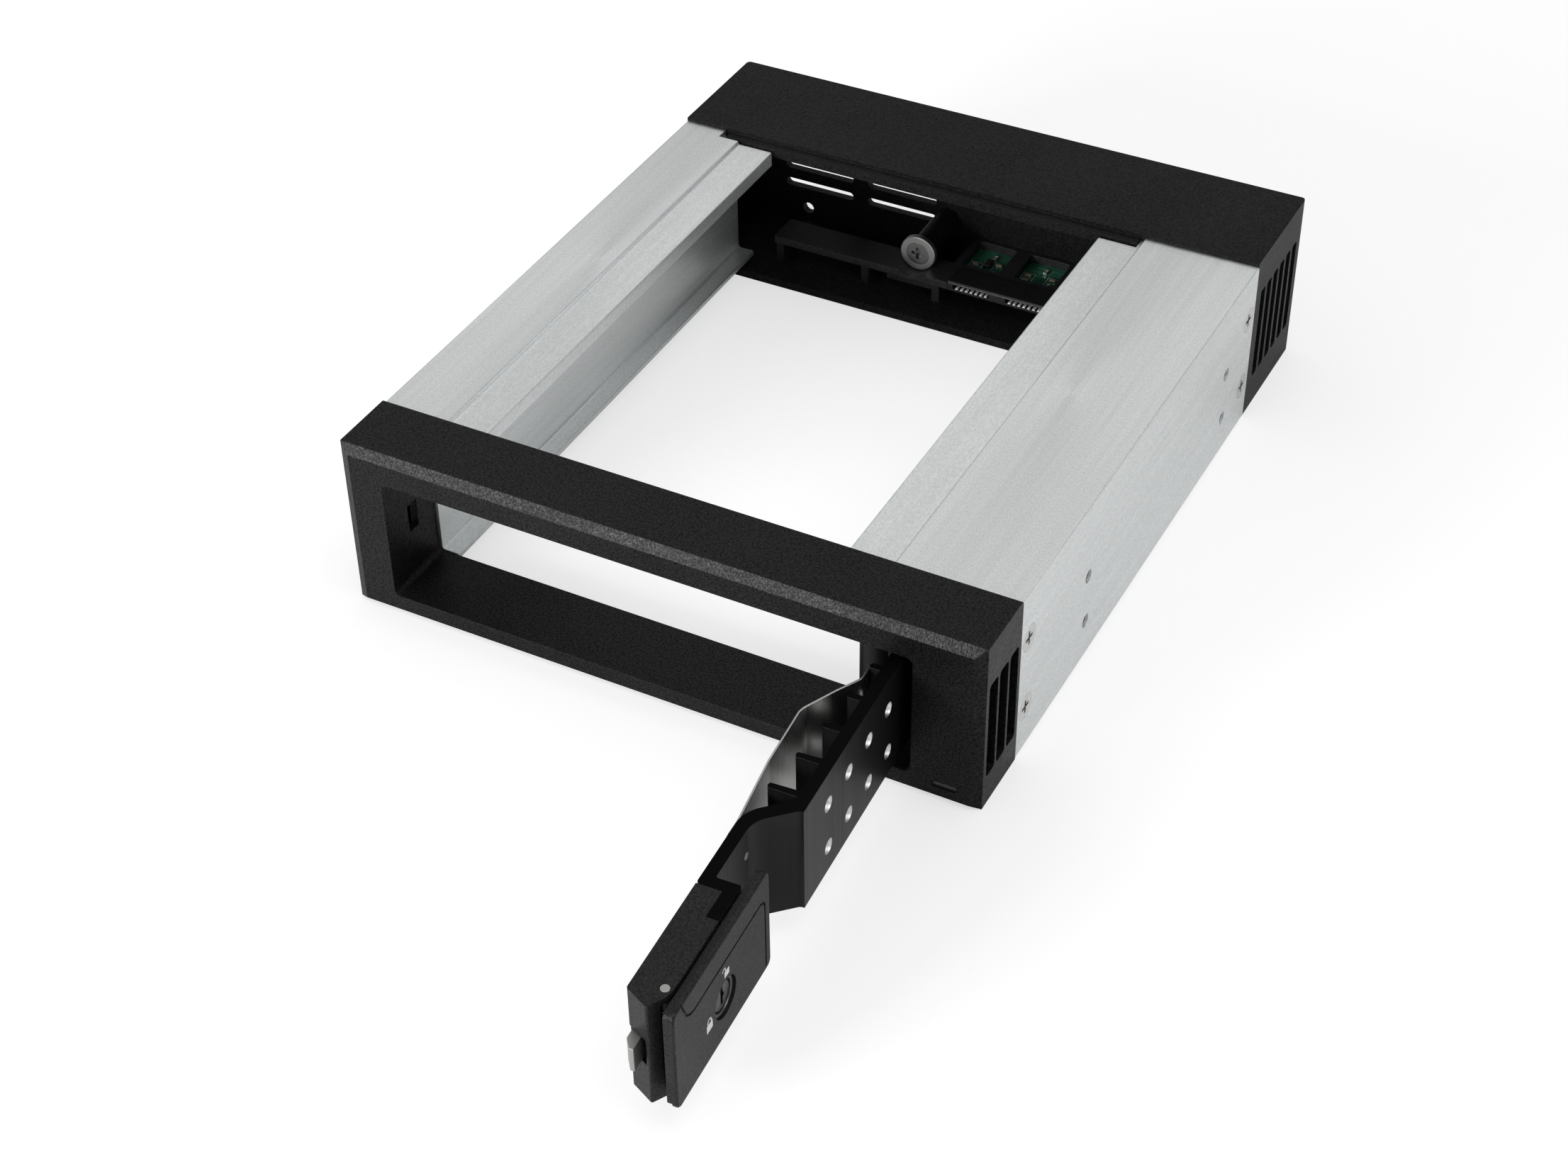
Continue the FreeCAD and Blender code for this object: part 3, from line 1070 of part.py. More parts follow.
def handle_cover():
    """Outer skin of the handle: rounded corners, a shallow line and a bore for the lock."""
    skin = rounded_box(HANDLE_FAR_X, HANDLE_NEAR_X, HANDLE_FRONT, HANDLE_SPLIT,
                       HANDLE_BASE, HANDLE_TOP, HANDLE_CORNER, "xz")
    rim = [edge for edge in skin.Edges if edge.BoundBox.YMax < HANDLE_FRONT + 0.01]
    skin = skin.makeFillet(0.45, rim)
    bore = rod(LOCK_X, HANDLE_FRONT - 1, LOCK_Z, LOCK_SLEEVE_RADIUS, HANDLE_THICK + 2, BACK)
    return cut(skin, [bore, handle_groove()]).removeSplitter()


def lever_barrel(z0, z1):
    """One knuckle round the handle pin, joined to the lever's plate."""
    barrel = rod(HANDLE_PIN_X, HANDLE_PIN_Y, z0, BARREL_RADIUS, z1 - z0)
    web = box(HANDLE_PIN_X - 1.2, HANDLE_PIN_X + 1.2, HANDLE_BACK - 0.4, HANDLE_PIN_Y, z0, z1)
    return barrel.fuse(web)


def handle_lever():
    """Inner plate of the handle with its knuckles and the crank that draws the bolt."""
    inset = HANDLE_SEAM
    plate = rounded_box(HANDLE_FAR_X + inset, HANDLE_NEAR_X - inset, HANDLE_SPLIT, HANDLE_BACK,
                        HANDLE_BASE + inset, HANDLE_TOP - inset, HANDLE_CORNER - inset, "xz")
    low = lever_barrel(POCKET_BASE + HANDLE_GAP, SPRING_BASE - 0.5)
    high = lever_barrel(SPRING_BASE + COIL_HEIGHT + 0.5, POCKET_TOP - HANDLE_GAP)
    z0 = DOOR_MID - CRANK_HEIGHT / 2
    tip = rod(HANDLE_PIN_X, HANDLE_PIN_Y + CRANK_REACH, z0, CRANK_TIP, CRANK_HEIGHT)
    neck_bar = box(HANDLE_PIN_X - CRANK_NECK / 2, HANDLE_PIN_X + CRANK_NECK / 2, HANDLE_PIN_Y,
                   HANDLE_PIN_Y + CRANK_REACH, z0, z0 + CRANK_HEIGHT)
    body = plate.fuse([low, high, tip, neck_bar])
    cutters = [rod(HANDLE_PIN_X, HANDLE_PIN_Y, 0, HANDLE_PIN_RADIUS + PIN_CLEARANCE, BEZEL_HEIGHT),
               rod(LOCK_X, HANDLE_FRONT - 1, LOCK_Z, LOCK_SLEEVE_RADIUS, HANDLE_THICK + 2, BACK)]
    return cut(body, cutters).removeSplitter()


def latch_bolt():
    """Sliding bolt with a bevelled nose and a window for the crank."""
    bevel = BOLT_THICK - 0.8
    corners = [
        (BOLT_TIP_X, BOLT_FRONT, 0.2), (BOLT_TAIL_X, BOLT_FRONT, 0), (BOLT_TAIL_X, BOLT_BACK, 0.3),
        (BOLT_TIP_X + bevel * 1.4, BOLT_BACK, 0.3), (BOLT_TIP_X, BOLT_BACK - bevel, 0.3),
    ]
    body = slab(corners, "xy", DOOR_MID - BOLT_HEIGHT / 2, BOLT_HEIGHT)
    slack = 0.12
    half = CRANK_TIP + slack
    window = box(HANDLE_PIN_X - half, HANDLE_PIN_X + half, BOLT_FRONT - 1, BOLT_BACK + 1,
                 DOOR_MID - CRANK_HEIGHT / 2 - 0.3, DOOR_MID + CRANK_HEIGHT / 2 + 0.3)
    return body.cut(window)


# ---- lock ----
def lock_sleeve():
    """Ring pressed into the handle round the lock."""
    start = HANDLE_FRONT + LOCK_SLEEVE_INSET
    ring = rod(LOCK_X, start, LOCK_Z, LOCK_SLEEVE_RADIUS, HANDLE_BACK - start, BACK)
    ring = ring.cut(rod(LOCK_X, 0, LOCK_Z, LOCK_BARREL_RADIUS + LOCK_CLEARANCE, 10, BACK))
    rim = [edge for edge in ring.Edges if edge.Closed and edge.BoundBox.YMax < start + 0.01]
    return ring.makeChamfer(0.2, rim)


def lock_barrel():
    """Turning barrel with a keyway in its face and a narrower shaft behind."""
    start = HANDLE_FRONT + LOCK_FACE_INSET
    face = rod(LOCK_X, start, LOCK_Z, LOCK_BARREL_RADIUS, HANDLE_BACK - start, BACK)
    rim = [edge for edge in face.Edges if edge.Closed and edge.BoundBox.YMax < start + 0.01]
    face = face.makeChamfer(0.3, rim)
    shaft = rod(LOCK_X, HANDLE_BACK, LOCK_Z, LOCK_SHAFT_RADIUS, LOCK_DEPTH - HANDLE_BACK, BACK)
    body = face.fuse(shaft)
    keyway = box(LOCK_X - KEYWAY_WIDTH / 2, LOCK_X + KEYWAY_WIDTH / 2, start - 1, start + 3.0,
                 LOCK_Z - KEYWAY_LENGTH / 2, LOCK_Z + KEYWAY_LENGTH / 2)
    ward = box(LOCK_X, LOCK_X + KEYWAY_WIDTH, start - 1, start + 3.0, LOCK_Z - 0.5, LOCK_Z + 0.6)
    return cut(body, [keyway, ward]).removeSplitter()


def lock_cam():
    """Arm on the barrel's shaft that swings behind the housing when the lock is turned."""
    end = LOCK_DEPTH - 0.3
    start = end - CAM_THICK
    hub = rod(LOCK_X, start, LOCK_Z, CAM_WIDTH, CAM_THICK, BACK)
    arm = box(LOCK_X - CAM_WIDTH / 2, LOCK_X + CAM_WIDTH / 2, start, end, LOCK_Z, LOCK_Z + CAM_LENGTH)
    tips = [edge for edge in arm.Edges if edge.BoundBox.ZMin > LOCK_Z + CAM_LENGTH - 0.01
            and edge.BoundBox.YLength > CAM_THICK - 0.01]
    arm = arm.makeFillet(0.8, tips)
    body = hub.fuse(arm)
    return body.cut(rod(LOCK_X, 0, LOCK_Z, LOCK_SHAFT_RADIUS, 20, BACK)).removeSplitter()


def cage_parts():
    """Pieces that stay with the chassis."""
    signal, power = 0, 1
    return {
        "front_bezel": front_bezel(),
        "led_light_pipe": led_light_pipe(),
        "led_board": led_board(),
        "right_rail": rail(1),
        "left_rail": rail(-1),
        "rear_cap": rear_cap(),
        "connector_shelf": connector_shelf(),
        "backplane_board": backplane_board(),
        "board_screws": board_screws(),
        "drive_receptacle": drive_receptacle(),
        "signal_contacts": receptacle_contacts(signal),
        "power_contacts": receptacle_contacts(power),
        "rear_data_socket": rear_socket(signal),
        "rear_power_socket": rear_socket(power),
        "rear_contacts": rear_contacts(),
        "stop_washer": stop_washer(),
        "stop_screw": stop_screw(),
        "bezel_screws": side_screws(FRONT_SCREWS),
        "cap_screws": side_screws(REAR_SCREWS),
        "lower_hinge_pin": hinge_pin(OPENING_BASE - HINGE_PIN_SEAT, DOOR_BASE + HINGE_PIN_ENTRY),
        "upper_hinge_pin": hinge_pin(DOOR_TOP - HINGE_PIN_ENTRY, OPENING_TOP + HINGE_PIN_SEAT),
        "hinge_bushes": hinge_bushes(),
    }


def door_parts():
    """Pieces that swing with the door, drawn with the door shut."""
    return {
        "door_frame": door_frame(),
        "leaf_spring": leaf_spring(),
        "spring_rivets": spring_rivets(),
        "latch_housing": latch_housing(),
        "housing_screws": housing_screws(),
        "bolt_retainer": bolt_retainer(),
        "retainer_screws": retainer_screws(),
        "handle_pin": handle_pin(),
        "handle_spring": handle_spring(),
        "handle_cover": handle_cover(),
        "handle_lever": handle_lever(),
        "latch_bolt": latch_bolt(),
        "lock_sleeve": lock_sleeve(),
        "lock_barrel": lock_barrel(),
        "lock_cam": lock_cam(),
    }


def build():
    """Every piece by node name, the door opened and the origin set."""
    parts = cage_parts()
    for name, shape in door_parts().items():
        parts[name] = opened(shape)
    for shape in parts.values():
        shape.translate(Vector(0, -ORIGIN_Y, 0))
    return parts


def main():
    """Write one STEP file for each node."""
    os.makedirs("parts", exist_ok=True)
    for name, shape in build().items():
        shape.exportStep("parts/" + name + ".step")
        print(name, len(shape.Solids), round(shape.Volume, 1), shape.isValid())


main()
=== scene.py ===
"""Studio scene of a hot swap drive cage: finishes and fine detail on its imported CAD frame.

Lengths are in metres. X runs to the right seen from the front, Y to the back and Z up, with the
origin in the middle of the bezel's underside.
"""
from __future__ import annotations

import json
import logging
import math
from dataclasses import dataclass
from enum import Enum
from functools import lru_cache
from typing import Any, ClassVar, Dict, Iterable, List, Sequence, Tuple

import bmesh
import bpy
from mathutils import Matrix, Quaternion, Vector

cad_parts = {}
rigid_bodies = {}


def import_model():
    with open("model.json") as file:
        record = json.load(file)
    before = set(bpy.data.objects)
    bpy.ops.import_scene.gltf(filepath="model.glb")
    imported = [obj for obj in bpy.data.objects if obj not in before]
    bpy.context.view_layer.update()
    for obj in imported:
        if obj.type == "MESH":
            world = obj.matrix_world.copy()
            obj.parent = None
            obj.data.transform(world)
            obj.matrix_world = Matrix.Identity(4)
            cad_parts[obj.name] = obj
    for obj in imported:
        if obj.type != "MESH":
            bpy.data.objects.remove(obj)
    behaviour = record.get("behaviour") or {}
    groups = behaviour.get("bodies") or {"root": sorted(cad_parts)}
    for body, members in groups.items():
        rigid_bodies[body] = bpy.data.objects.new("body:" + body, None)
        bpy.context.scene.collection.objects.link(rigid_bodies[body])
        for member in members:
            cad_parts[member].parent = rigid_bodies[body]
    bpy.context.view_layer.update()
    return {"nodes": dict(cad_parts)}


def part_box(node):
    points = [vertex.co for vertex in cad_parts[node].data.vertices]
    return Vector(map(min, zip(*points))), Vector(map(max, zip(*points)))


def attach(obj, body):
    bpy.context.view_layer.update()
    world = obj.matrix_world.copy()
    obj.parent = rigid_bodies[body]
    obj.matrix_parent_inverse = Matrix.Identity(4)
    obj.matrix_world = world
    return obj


LOG = logging.getLogger("drive_cage")
Colour = Tuple[float, float, float, float]
Triple = Tuple[float, float, float]
Span = Tuple[float, float]
BMesh = bmesh.types.BMesh
Material = bpy.types.Material
Node = bpy.types.Node
NodeTree = bpy.types.NodeTree
Socket = bpy.types.NodeSocket
MM = 0.001
DOOR_OPEN = math.radians(93.0)
QUARTER_TURN = math.pi / 2
VECTOR = "NodeSocketVector"
FLOAT = "NodeSocketFloat"
INTEGER = "NodeSocketInt"
GEOMETRY = "NodeSocketGeometry"
LEAD_FLATNESS = 0.4


def grey(value: float) -> Colour:
    """A neutral colour of that brightness, linear and opaque."""
    return value, value, value, 1.0


@lru_cache(maxsize=None)
def front_face() -> float:
    """Where the bezel's front face lies on Y in metres, measured once."""
    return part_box("front_bezel")[0][1]


def spot(x: float, y: float, z: float) -> Vector:
    """A place in metres, from millimetres right of the middle, behind the front face and above the base."""
    return Vector((x * MM, y * MM + front_face(), z * MM))


class Body(Enum):
    """The moving groups that carry added pieces."""

    CAGE = "cage"
    DOOR = "door"
    HANDLE = "handle"


# --- shader helpers ---
class NodeWriter:
    """Adds nodes to a tree and fills their inputs."""

    def __init__(self, tree: NodeTree) -> None:
        """Keeps the empty tree that nodes are added to."""
        self.tree = tree

    def fill(self, node: Node, inputs: Dict[Any, Any]) -> None:
        """Links outputs to a node's inputs, or writes plain values on them.

        Args:
            node: The node.
            inputs: An output or a value for each input, by name or number.
        """
        for key, value in inputs.items():
            if isinstance(value, Socket):
                self.tree.links.new(value, node.inputs[key])
            else:
                node.inputs[key].default_value = value

    def add(self, kind: str, inputs: Dict[Any, Any] | None = None, **settings: Any) -> Node:
        """Adds one node.

        Args:
            kind: The node's type name.
            inputs: What its inputs are filled with.
            **settings: Its properties.

        Returns:
            The new node.
        """
        node = self.tree.nodes.new(kind)
        for name, value in settings.items():
            setattr(node, name, value)
        self.fill(node, inputs or {})
        return node


class ShaderTree(NodeWriter):
    """Writes materials and shader groups."""

    def math(self, operation: str, first: Any, second: Any = 0.0, clamp: bool = False) -> Socket:
        """One step of arithmetic on values or outputs, held between 0 and 1 if it is clamped."""
        return self.add("ShaderNodeMath", {0: first, 1: second}, operation=operation, use_clamp=clamp).outputs[0]

    def noise(self, where: Any, scale: Any, detail: float = 2.0, roughness: float = 0.5) -> Socket:
        """A cloud pattern between 0 and 1, with its scale per metre, its octaves and their weight."""
        return self.add("ShaderNodeTexNoise", {"Vector": where, "Scale": scale, "Detail": detail,
                                               "Roughness": roughness}).outputs["Fac"]

    def pits(self, where: Any, scale: Any) -> Socket:
        """Fine pits of a spark-eroded surface, between 0 and 1."""
        return self.ramp(self.noise(where, scale, detail=3.0, roughness=0.6), 0.35, 0.65)

    def stretch(self, where: Any, scale: Sequence[float]) -> Socket:
        """Coordinates scaled by three factors, one for each axis."""
        return self.add("ShaderNodeMapping", {"Vector": where, "Scale": tuple(scale)}).outputs["Vector"]

    def ramp(self, value: Any, low: float, high: float, to_low: float = 0.0, to_high: float = 1.0) -> Any:
        """Maps the range from low to high onto another range, held at its ends."""
        return self.add("ShaderNodeMapRange", {"Value": value, "From Min": low, "From Max": high, "To Min": to_low,
                                               "To Max": to_high}).outputs["Result"]

    def blend(self, share: Any, first: Any, second: Any) -> Socket:
        """Mixes two colours, where share is the weight of the second."""
        return self.add("ShaderNodeMix", {0: share, 6: first, 7: second}, data_type="RGBA").outputs[2]

    def bump(self, height: Any, strength: float, distance: float, normal: Any = None) -> Socket:
        """Relief from a height.

        Args:
            height: The height.
            strength: How far it tilts the surface.
            distance: The relief's depth in metres.
            normal: The surface below it.

        Returns:
            The tilted normal.
        """
        below = {} if normal is None else {"Normal": normal}
        return self.add("ShaderNodeBump", {"Strength": strength, "Distance": distance, "Height": height,
                                           **below}).outputs["Normal"]

    def eased(self, radius: float) -> Socket:
        """Surface direction, with edges softened over a radius in metres."""
        return self.add("ShaderNodeBevel", {"Radius": radius}, samples=4).outputs[0]

    def split(self, others: Any, camera: Any) -> Socket:
        """Shows one shader to the camera and another to every other ray."""
        direct = self.add("ShaderNodeLightPath").outputs["Is Camera Ray"]
        return self.add("ShaderNodeMixShader", {0: direct, 1: others, 2: camera}).outputs[0]


def blank_tree(owner: Any) -> ShaderTree:
    """Empties the node tree of a material or a world.

    Args:
        owner: The material or world.

    Returns:
        A writer for the tree.
    """
    owner.use_nodes = True
    owner.node_tree.nodes.clear()
    return ShaderTree(owner.node_tree)


class EffectGroups:
    """Effects that several finishes share, each built once."""

    def __init__(self) -> None:
        """Builds the groups."""
        self.grain = self._grain()
        self.drawn = self._drawn()
        self.handling = self._handling()

    @staticmethod
    def _start(name: str, inputs: Dict[str, str], outputs: Sequence[str]) -> Tuple[ShaderTree, Any, Node]:
        """Opens a group with its sockets.

        Args:
            name: The group's name.
            inputs: Name and socket type of each input.
            outputs: Name of each output, all plain values.

        Returns:
            A writer for the group, what comes in, and the node that takes the results.
        """
        group = bpy.data.node_groups.new(name, "ShaderNodeTree")
        for title, kind in inputs.items():
            group.interface.new_socket(name=title, in_out="INPUT", socket_type=kind)
        for title in outputs:
            group.interface.new_socket(name=title, in_out="OUTPUT", socket_type=FLOAT)
        writer = ShaderTree(group)
        return writer, writer.add("NodeGroupInput").outputs, writer.add("NodeGroupOutput")

    def _grain(self) -> NodeTree:
        """Spark-eroded grain of a moulding: fine pits over a slow cloud.

        Returns:
            The group, with a height and a cloud.
        """
        w, ins, results = self._start("moulding_grain", {"Place": VECTOR, "Size": FLOAT}, ("Height", "Cloud"))
        cloud = w.noise(ins["Place"], scale=38.0, detail=4.0, roughness=0.55)
        w.fill(results, {"Height": w.pits(ins["Place"], ins["Size"]), "Cloud": w.ramp(cloud, 0.3, 0.7)})
        return w.tree

    def _drawn(self) -> NodeTree:
        """Lines that a brush or a drawing die leaves along one direction.

        Returns:
            The group, with fine lines and broad streaks.
        """
        w, ins, results = self._start("drawn_lines", {"Stretched": VECTOR}, ("Lines", "Streaks"))
        fine = w.noise(ins["Stretched"], scale=1.0, detail=5.0, roughness=0.7)
        broad = w.noise(w.stretch(ins["Stretched"], (0.12, 0.35, 0.12)), scale=1.0, detail=3.0)
        w.fill(results, {"Lines": w.ramp(fine, 0.25, 0.75), "Streaks": w.ramp(broad, 0.3, 0.7)})
        return w.tree

    def _handling(self) -> NodeTree:
        """Faint marks of handling: sparse fine scratches and a soft haze.

        Returns:
            The group, with a scratch mask and a haze.
        """
        w, ins, results = self._start("handling_marks", {"Place": VECTOR}, ("Scratches", "Haze"))
        waver = w.add("ShaderNodeTexNoise", {"Vector": ins["Place"], "Scale": 60.0}).outputs["Color"]
        warped = w.add("ShaderNodeVectorMath", {0: waver, 1: (0.01, 0.01, 0.01), 2: ins["Place"]},
                       operation="MULTIPLY_ADD")
        cells = w.add("ShaderNodeTexVoronoi", {"Vector": warped.outputs[0], "Scale": 95.0},
                      feature="DISTANCE_TO_EDGE")
        line = w.ramp(cells.outputs["Distance"], 0.0, 0.006, 1.0, 0.0)
        patch = w.ramp(w.noise(ins["Place"], scale=55.0), 0.56, 0.66)
        haze = w.ramp(w.noise(ins["Place"], scale=24.0, detail=3.0), 0.35, 0.7)
        w.fill(results, {"Scratches": w.math("MULTIPLY", line, patch), "Haze": haze})
        return w.tree


class SurfaceTree(ShaderTree):
    """Writes a material with one surface shader."""

    def __init__(self, material: Material, effects: EffectGroups) -> None:
        """Empties the material and gives it a surface.

        Args:
            material: The material.
            effects: The shared effects.
        """
        super().__init__(blank_tree(material).tree)
        self.effects = effects
        self.surface = self.add("ShaderNodeBsdfPrincipled")
        self.add("ShaderNodeOutputMaterial", {"Surface": self.surface.outputs["BSDF"]})
        places = self.add("ShaderNodeTexCoord").outputs
        self.place, self.facing = places["Object"], places["Normal"]

    def coat(self, inputs: Dict[str, Any]) -> None:
        """Fills inputs of the surface, by name."""
        self.fill(self.surface, inputs)

    def effect(self, group: NodeTree, **inputs: Any) -> Any:
        """Places a shared effect with its inputs filled, and gives its outputs."""
        return self.add("ShaderNodeGroup", inputs, node_tree=group).outputs


@dataclass(frozen=True)
class Finish:
    """A plain finish that the others build on."""

    name: str
    colour: Colour
    roughness: float = 0.5
    metallic: float = 0.0

    def build(self, effects: EffectGroups) -> Material:
        """Makes the material.

        Args:
            effects: The shared effects.

        Returns:
            The material.
        """
        material = bpy.data.materials.new(self.name)
        material.diffuse_color = self.colour
        writer = SurfaceTree(material, effects)
        writer.coat({"Base Color": self.colour, "Metallic": self.metallic, "Roughness": self.roughness})
        self._write(writer)
        return material

    def _write(self, w: SurfaceTree) -> None:
        """Adds the finish's own look, which a plain finish doesn't have."""

    def _shade(self, factor: float) -> Colour:
        """The finish's colour multiplied by a factor and held below white."""
        red, green, blue = (min(1.0, c * factor) for c in self.colour[:3])
        return red, green, blue, 1.0


@dataclass(frozen=True)
class MouldedPlastic(Finish):
    """Moulded plastic with a spark-eroded grain."""

    grain_scale: float = 2600.0
    grain_depth: float = 0.00006
    lift: float = 1.5
    specular: float = 0.4
    glint: float = 0.4
    scuff: float = 0.04
    edge: float = 0.00025
    scuff_colour: Colour = grey(0.1)
    pit_share: float = 0.55
    cloud_share: float = 0.3
    spread: Span = (-0.04, 0.05)
    relief: float = 0.35

    def _write(self, w: SurfaceTree) -> None:
        """Adds the finish's own look.

        Args:
            w: The material's writer.
        """
        grain = w.effect(w.effects.grain, Place=w.place, Size=self.grain_scale)
        marks = w.effect(w.effects.handling, Place=w.place)
        pits, cloud = grain["Height"], grain["Cloud"]
        share = w.math("ADD", w.math("MULTIPLY", pits, self.pit_share),
                       w.math("MULTIPLY", cloud, self.cloud_share), clamp=True)
        toned = w.blend(share, self.colour, self._shade(self.lift))
        # A shared effect may not feed the specular level, so the same pits are drawn here for it.
        dim, bright = self.specular * (1.0 - self.glint), self.specular * (1.0 + self.glint)
        glint = w.ramp(w.pits(w.place, self.grain_scale), 0.0, 1.0, dim, bright)
        w.coat({
            "Base Color": w.blend(w.math("MULTIPLY", marks["Scratches"], self.scuff), toned, self.scuff_colour),
            "Roughness": w.ramp(cloud, 0.0, 1.0, *(self.roughness + step for step in self.spread)),
            "Specular IOR Level": glint,
            "Normal": w.bump(pits, self.relief, self.grain_depth, w.eased(self.edge))})


class Direction(Enum):
    """Stretch of a drawn pattern, per metre, for lines along each axis."""

    ALONG_Y = (5200.0, 45.0, 5200.0)
    ALONG_Z = (4200.0, 4200.0, 40.0)


@dataclass(frozen=True)
class DrawnMetal(Finish):
    """Metal with brush or die lines along one direction."""

    lines: Direction = Direction.ALONG_Y
    contrast: float = 0.12
    depth: float = 0.00002
    edge: float = 0.0002
    anisotropy: float = 0.4
    speck: float = 0.0
    edge_shade: float = 0.0
    edge_shade_colour: Colour = (0.25, 0.26, 0.27, 1.0)
    line_share: float = 0.65
    pale_share: float = 0.6
    relief: float = 0.3
    haze: float = 0.03
    grit_scale: float = 4200.0
    grit_stretch: Triple = (1.0, 0.4, 1.0)
    bend: Span = (0.93, 0.998)
    end_shade_colour: Colour = grey(0.002)
    painted_end_shade: bool = False

    def _write(self, w: SurfaceTree) -> None:
        """Adds the finish's own look.

        Args:
            w: The material's writer.
        """
        drawn = w.effect(w.effects.drawn, Stretched=w.stretch(w.place, self.lines.value))
        marks = w.effect(w.effects.handling, Place=w.place)
        dark, pale = self._shade(1.0 - self.contrast), self._shade(1.0 + self.contrast * self.pale_share)
        both = w.math("ADD", w.math("MULTIPLY", drawn["Lines"], self.line_share),
                      w.math("MULTIPLY", drawn["Streaks"], 1.0 - self.line_share))
        toned = w.blend(both, dark, pale)
        if self.speck:
            grit = w.ramp(w.noise(w.stretch(w.place, self.grit_stretch), self.grit_scale), 0.35, 0.65,
                          1.0 - self.speck, 1.0 + self.speck)
            toned = w.add("ShaderNodeVectorMath", {0: toned, "Scale": grit}, operation="SCALE").outputs[0]
        eased = w.eased(self.edge)
        # Painted shade: edges and steps, found where the eased normal bends away from the true one, are blended toward
        # a dark grey.
        if self.edge_shade:
            true = w.add("ShaderNodeNewGeometry").outputs["Normal"]
            bend = w.add("ShaderNodeVectorMath", {0: eased, 1: true}, operation="DOT_PRODUCT").outputs["Value"]
            toned = w.blend(w.ramp(bend, *self.bend, self.edge_shade, 0.0), toned, self.edge_shade_colour)
        spread = 0.02 if self.speck else 0.045
        rough = w.ramp(drawn["Streaks"], 0.0, 1.0, self.roughness - spread, self.roughness + spread)
        # Painted shade: faces that look up or down, the sawn ends, are darkened, made non-metallic and given almost no
        # reflection.
        if self.painted_end_shade:
            ends = self._ends(w)
            toned = w.blend(ends, toned, self.end_shade_colour)
            rough = w.math("MAXIMUM", rough, w.math("MULTIPLY", ends, 0.5))
            w.coat({"Metallic": w.ramp(ends, 0.0, 1.0, self.metallic, 0.0),
                    "Specular IOR Level": w.ramp(ends, 0.0, 1.0, 0.3, 0.02)})
        w.coat({"Base Color": toned, "Anisotropic": self.anisotropy,
                "Roughness": w.math("ADD", rough, w.math("MULTIPLY", marks["Haze"], self.haze)),
                "Normal": w.bump(drawn["Lines"], self.relief, self.depth, eased)})

    @staticmethod
    def _ends(writer: SurfaceTree) -> Socket:
        """Mask of the faces that look up or down: the sawn ends of an extrusion drawn along Z."""
        upward = writer.add("ShaderNodeSeparateXYZ", {0: writer.facing}).outputs[2]
        return writer.ramp(writer.math("ABSOLUTE", upward), 0.9, 0.97)


@dataclass(frozen=True)
class PlatedMetal(Finish):
    """Smooth plated metal with a faint haze."""

    edge: float = 0.00015
    haze_tone: float = 0.82
    haze_share: float = 0.6
    haze_rough: float = 0.12
    ripple_scale: float = 1800.0
    ripple_depth: float = 0.00002

    def _write(self, w: SurfaceTree) -> None:
        """Adds the finish's own look.

        Args:
            w: The material's writer.
        """
        haze = w.effect(w.effects.handling, Place=w.place)["Haze"]
        w.coat({
            "Base Color": w.blend(w.math("MULTIPLY", haze, self.haze_share), self.colour, self._shade(self.haze_tone)),
            "Roughness": w.ramp(haze, 0.0, 1.0, self.roughness, self.roughness + self.haze_rough),
            "Normal": w.bump(w.noise(w.place, self.ripple_scale), 0.12, self.ripple_depth, w.eased(self.edge))})


@dataclass(frozen=True)
class SolderMask(Finish):
    """Green board with buried tracks and bare laminate edges."""

    track: Colour = (0.045, 0.22, 0.12, 1.0)

    def _write(self, w: SurfaceTree) -> None:
        """Adds the finish's own look.

        Args:
            w: The material's writer.
        """
        bricks = w.add("ShaderNodeTexBrick", {"Vector": w.place, "Scale": 190.0, "Mortar Size": 0.045,
                                              "Brick Width": 1.3, "Row Height": 0.32}, offset=0.37, squash=1.0)
        gaps = w.ramp(w.noise(w.place, scale=90.0, detail=1.0), 0.45, 0.55)
        tracks = w.math("MULTIPLY", bricks.outputs["Fac"], gaps)
        w.coat({
            "Base Color": w.blend(tracks, self.colour, self.track),
            "Roughness": w.ramp(w.noise(w.place, scale=700.0), 0.3, 0.7, 0.28, 0.42),
            "Normal": w.bump(tracks, 0.4, 0.00004)})


@dataclass(frozen=True)
class ClearBar(Finish):
    """Clear moulded light pipe, faintly milky inside."""

    def _write(self, w: SurfaceTree) -> None:
        """Adds the finish's own look.

        Args:
            w: The material's writer.
        """
        cloud = w.noise(w.place, scale=500.0)
        w.coat({
            "Base Color": w.blend(cloud, self.colour, self._shade(0.7)),
            "Roughness": w.ramp(cloud, 0.3, 0.7, 0.12, 0.25),
            "Transmission Weight": 0.6, "IOR": 1.49})


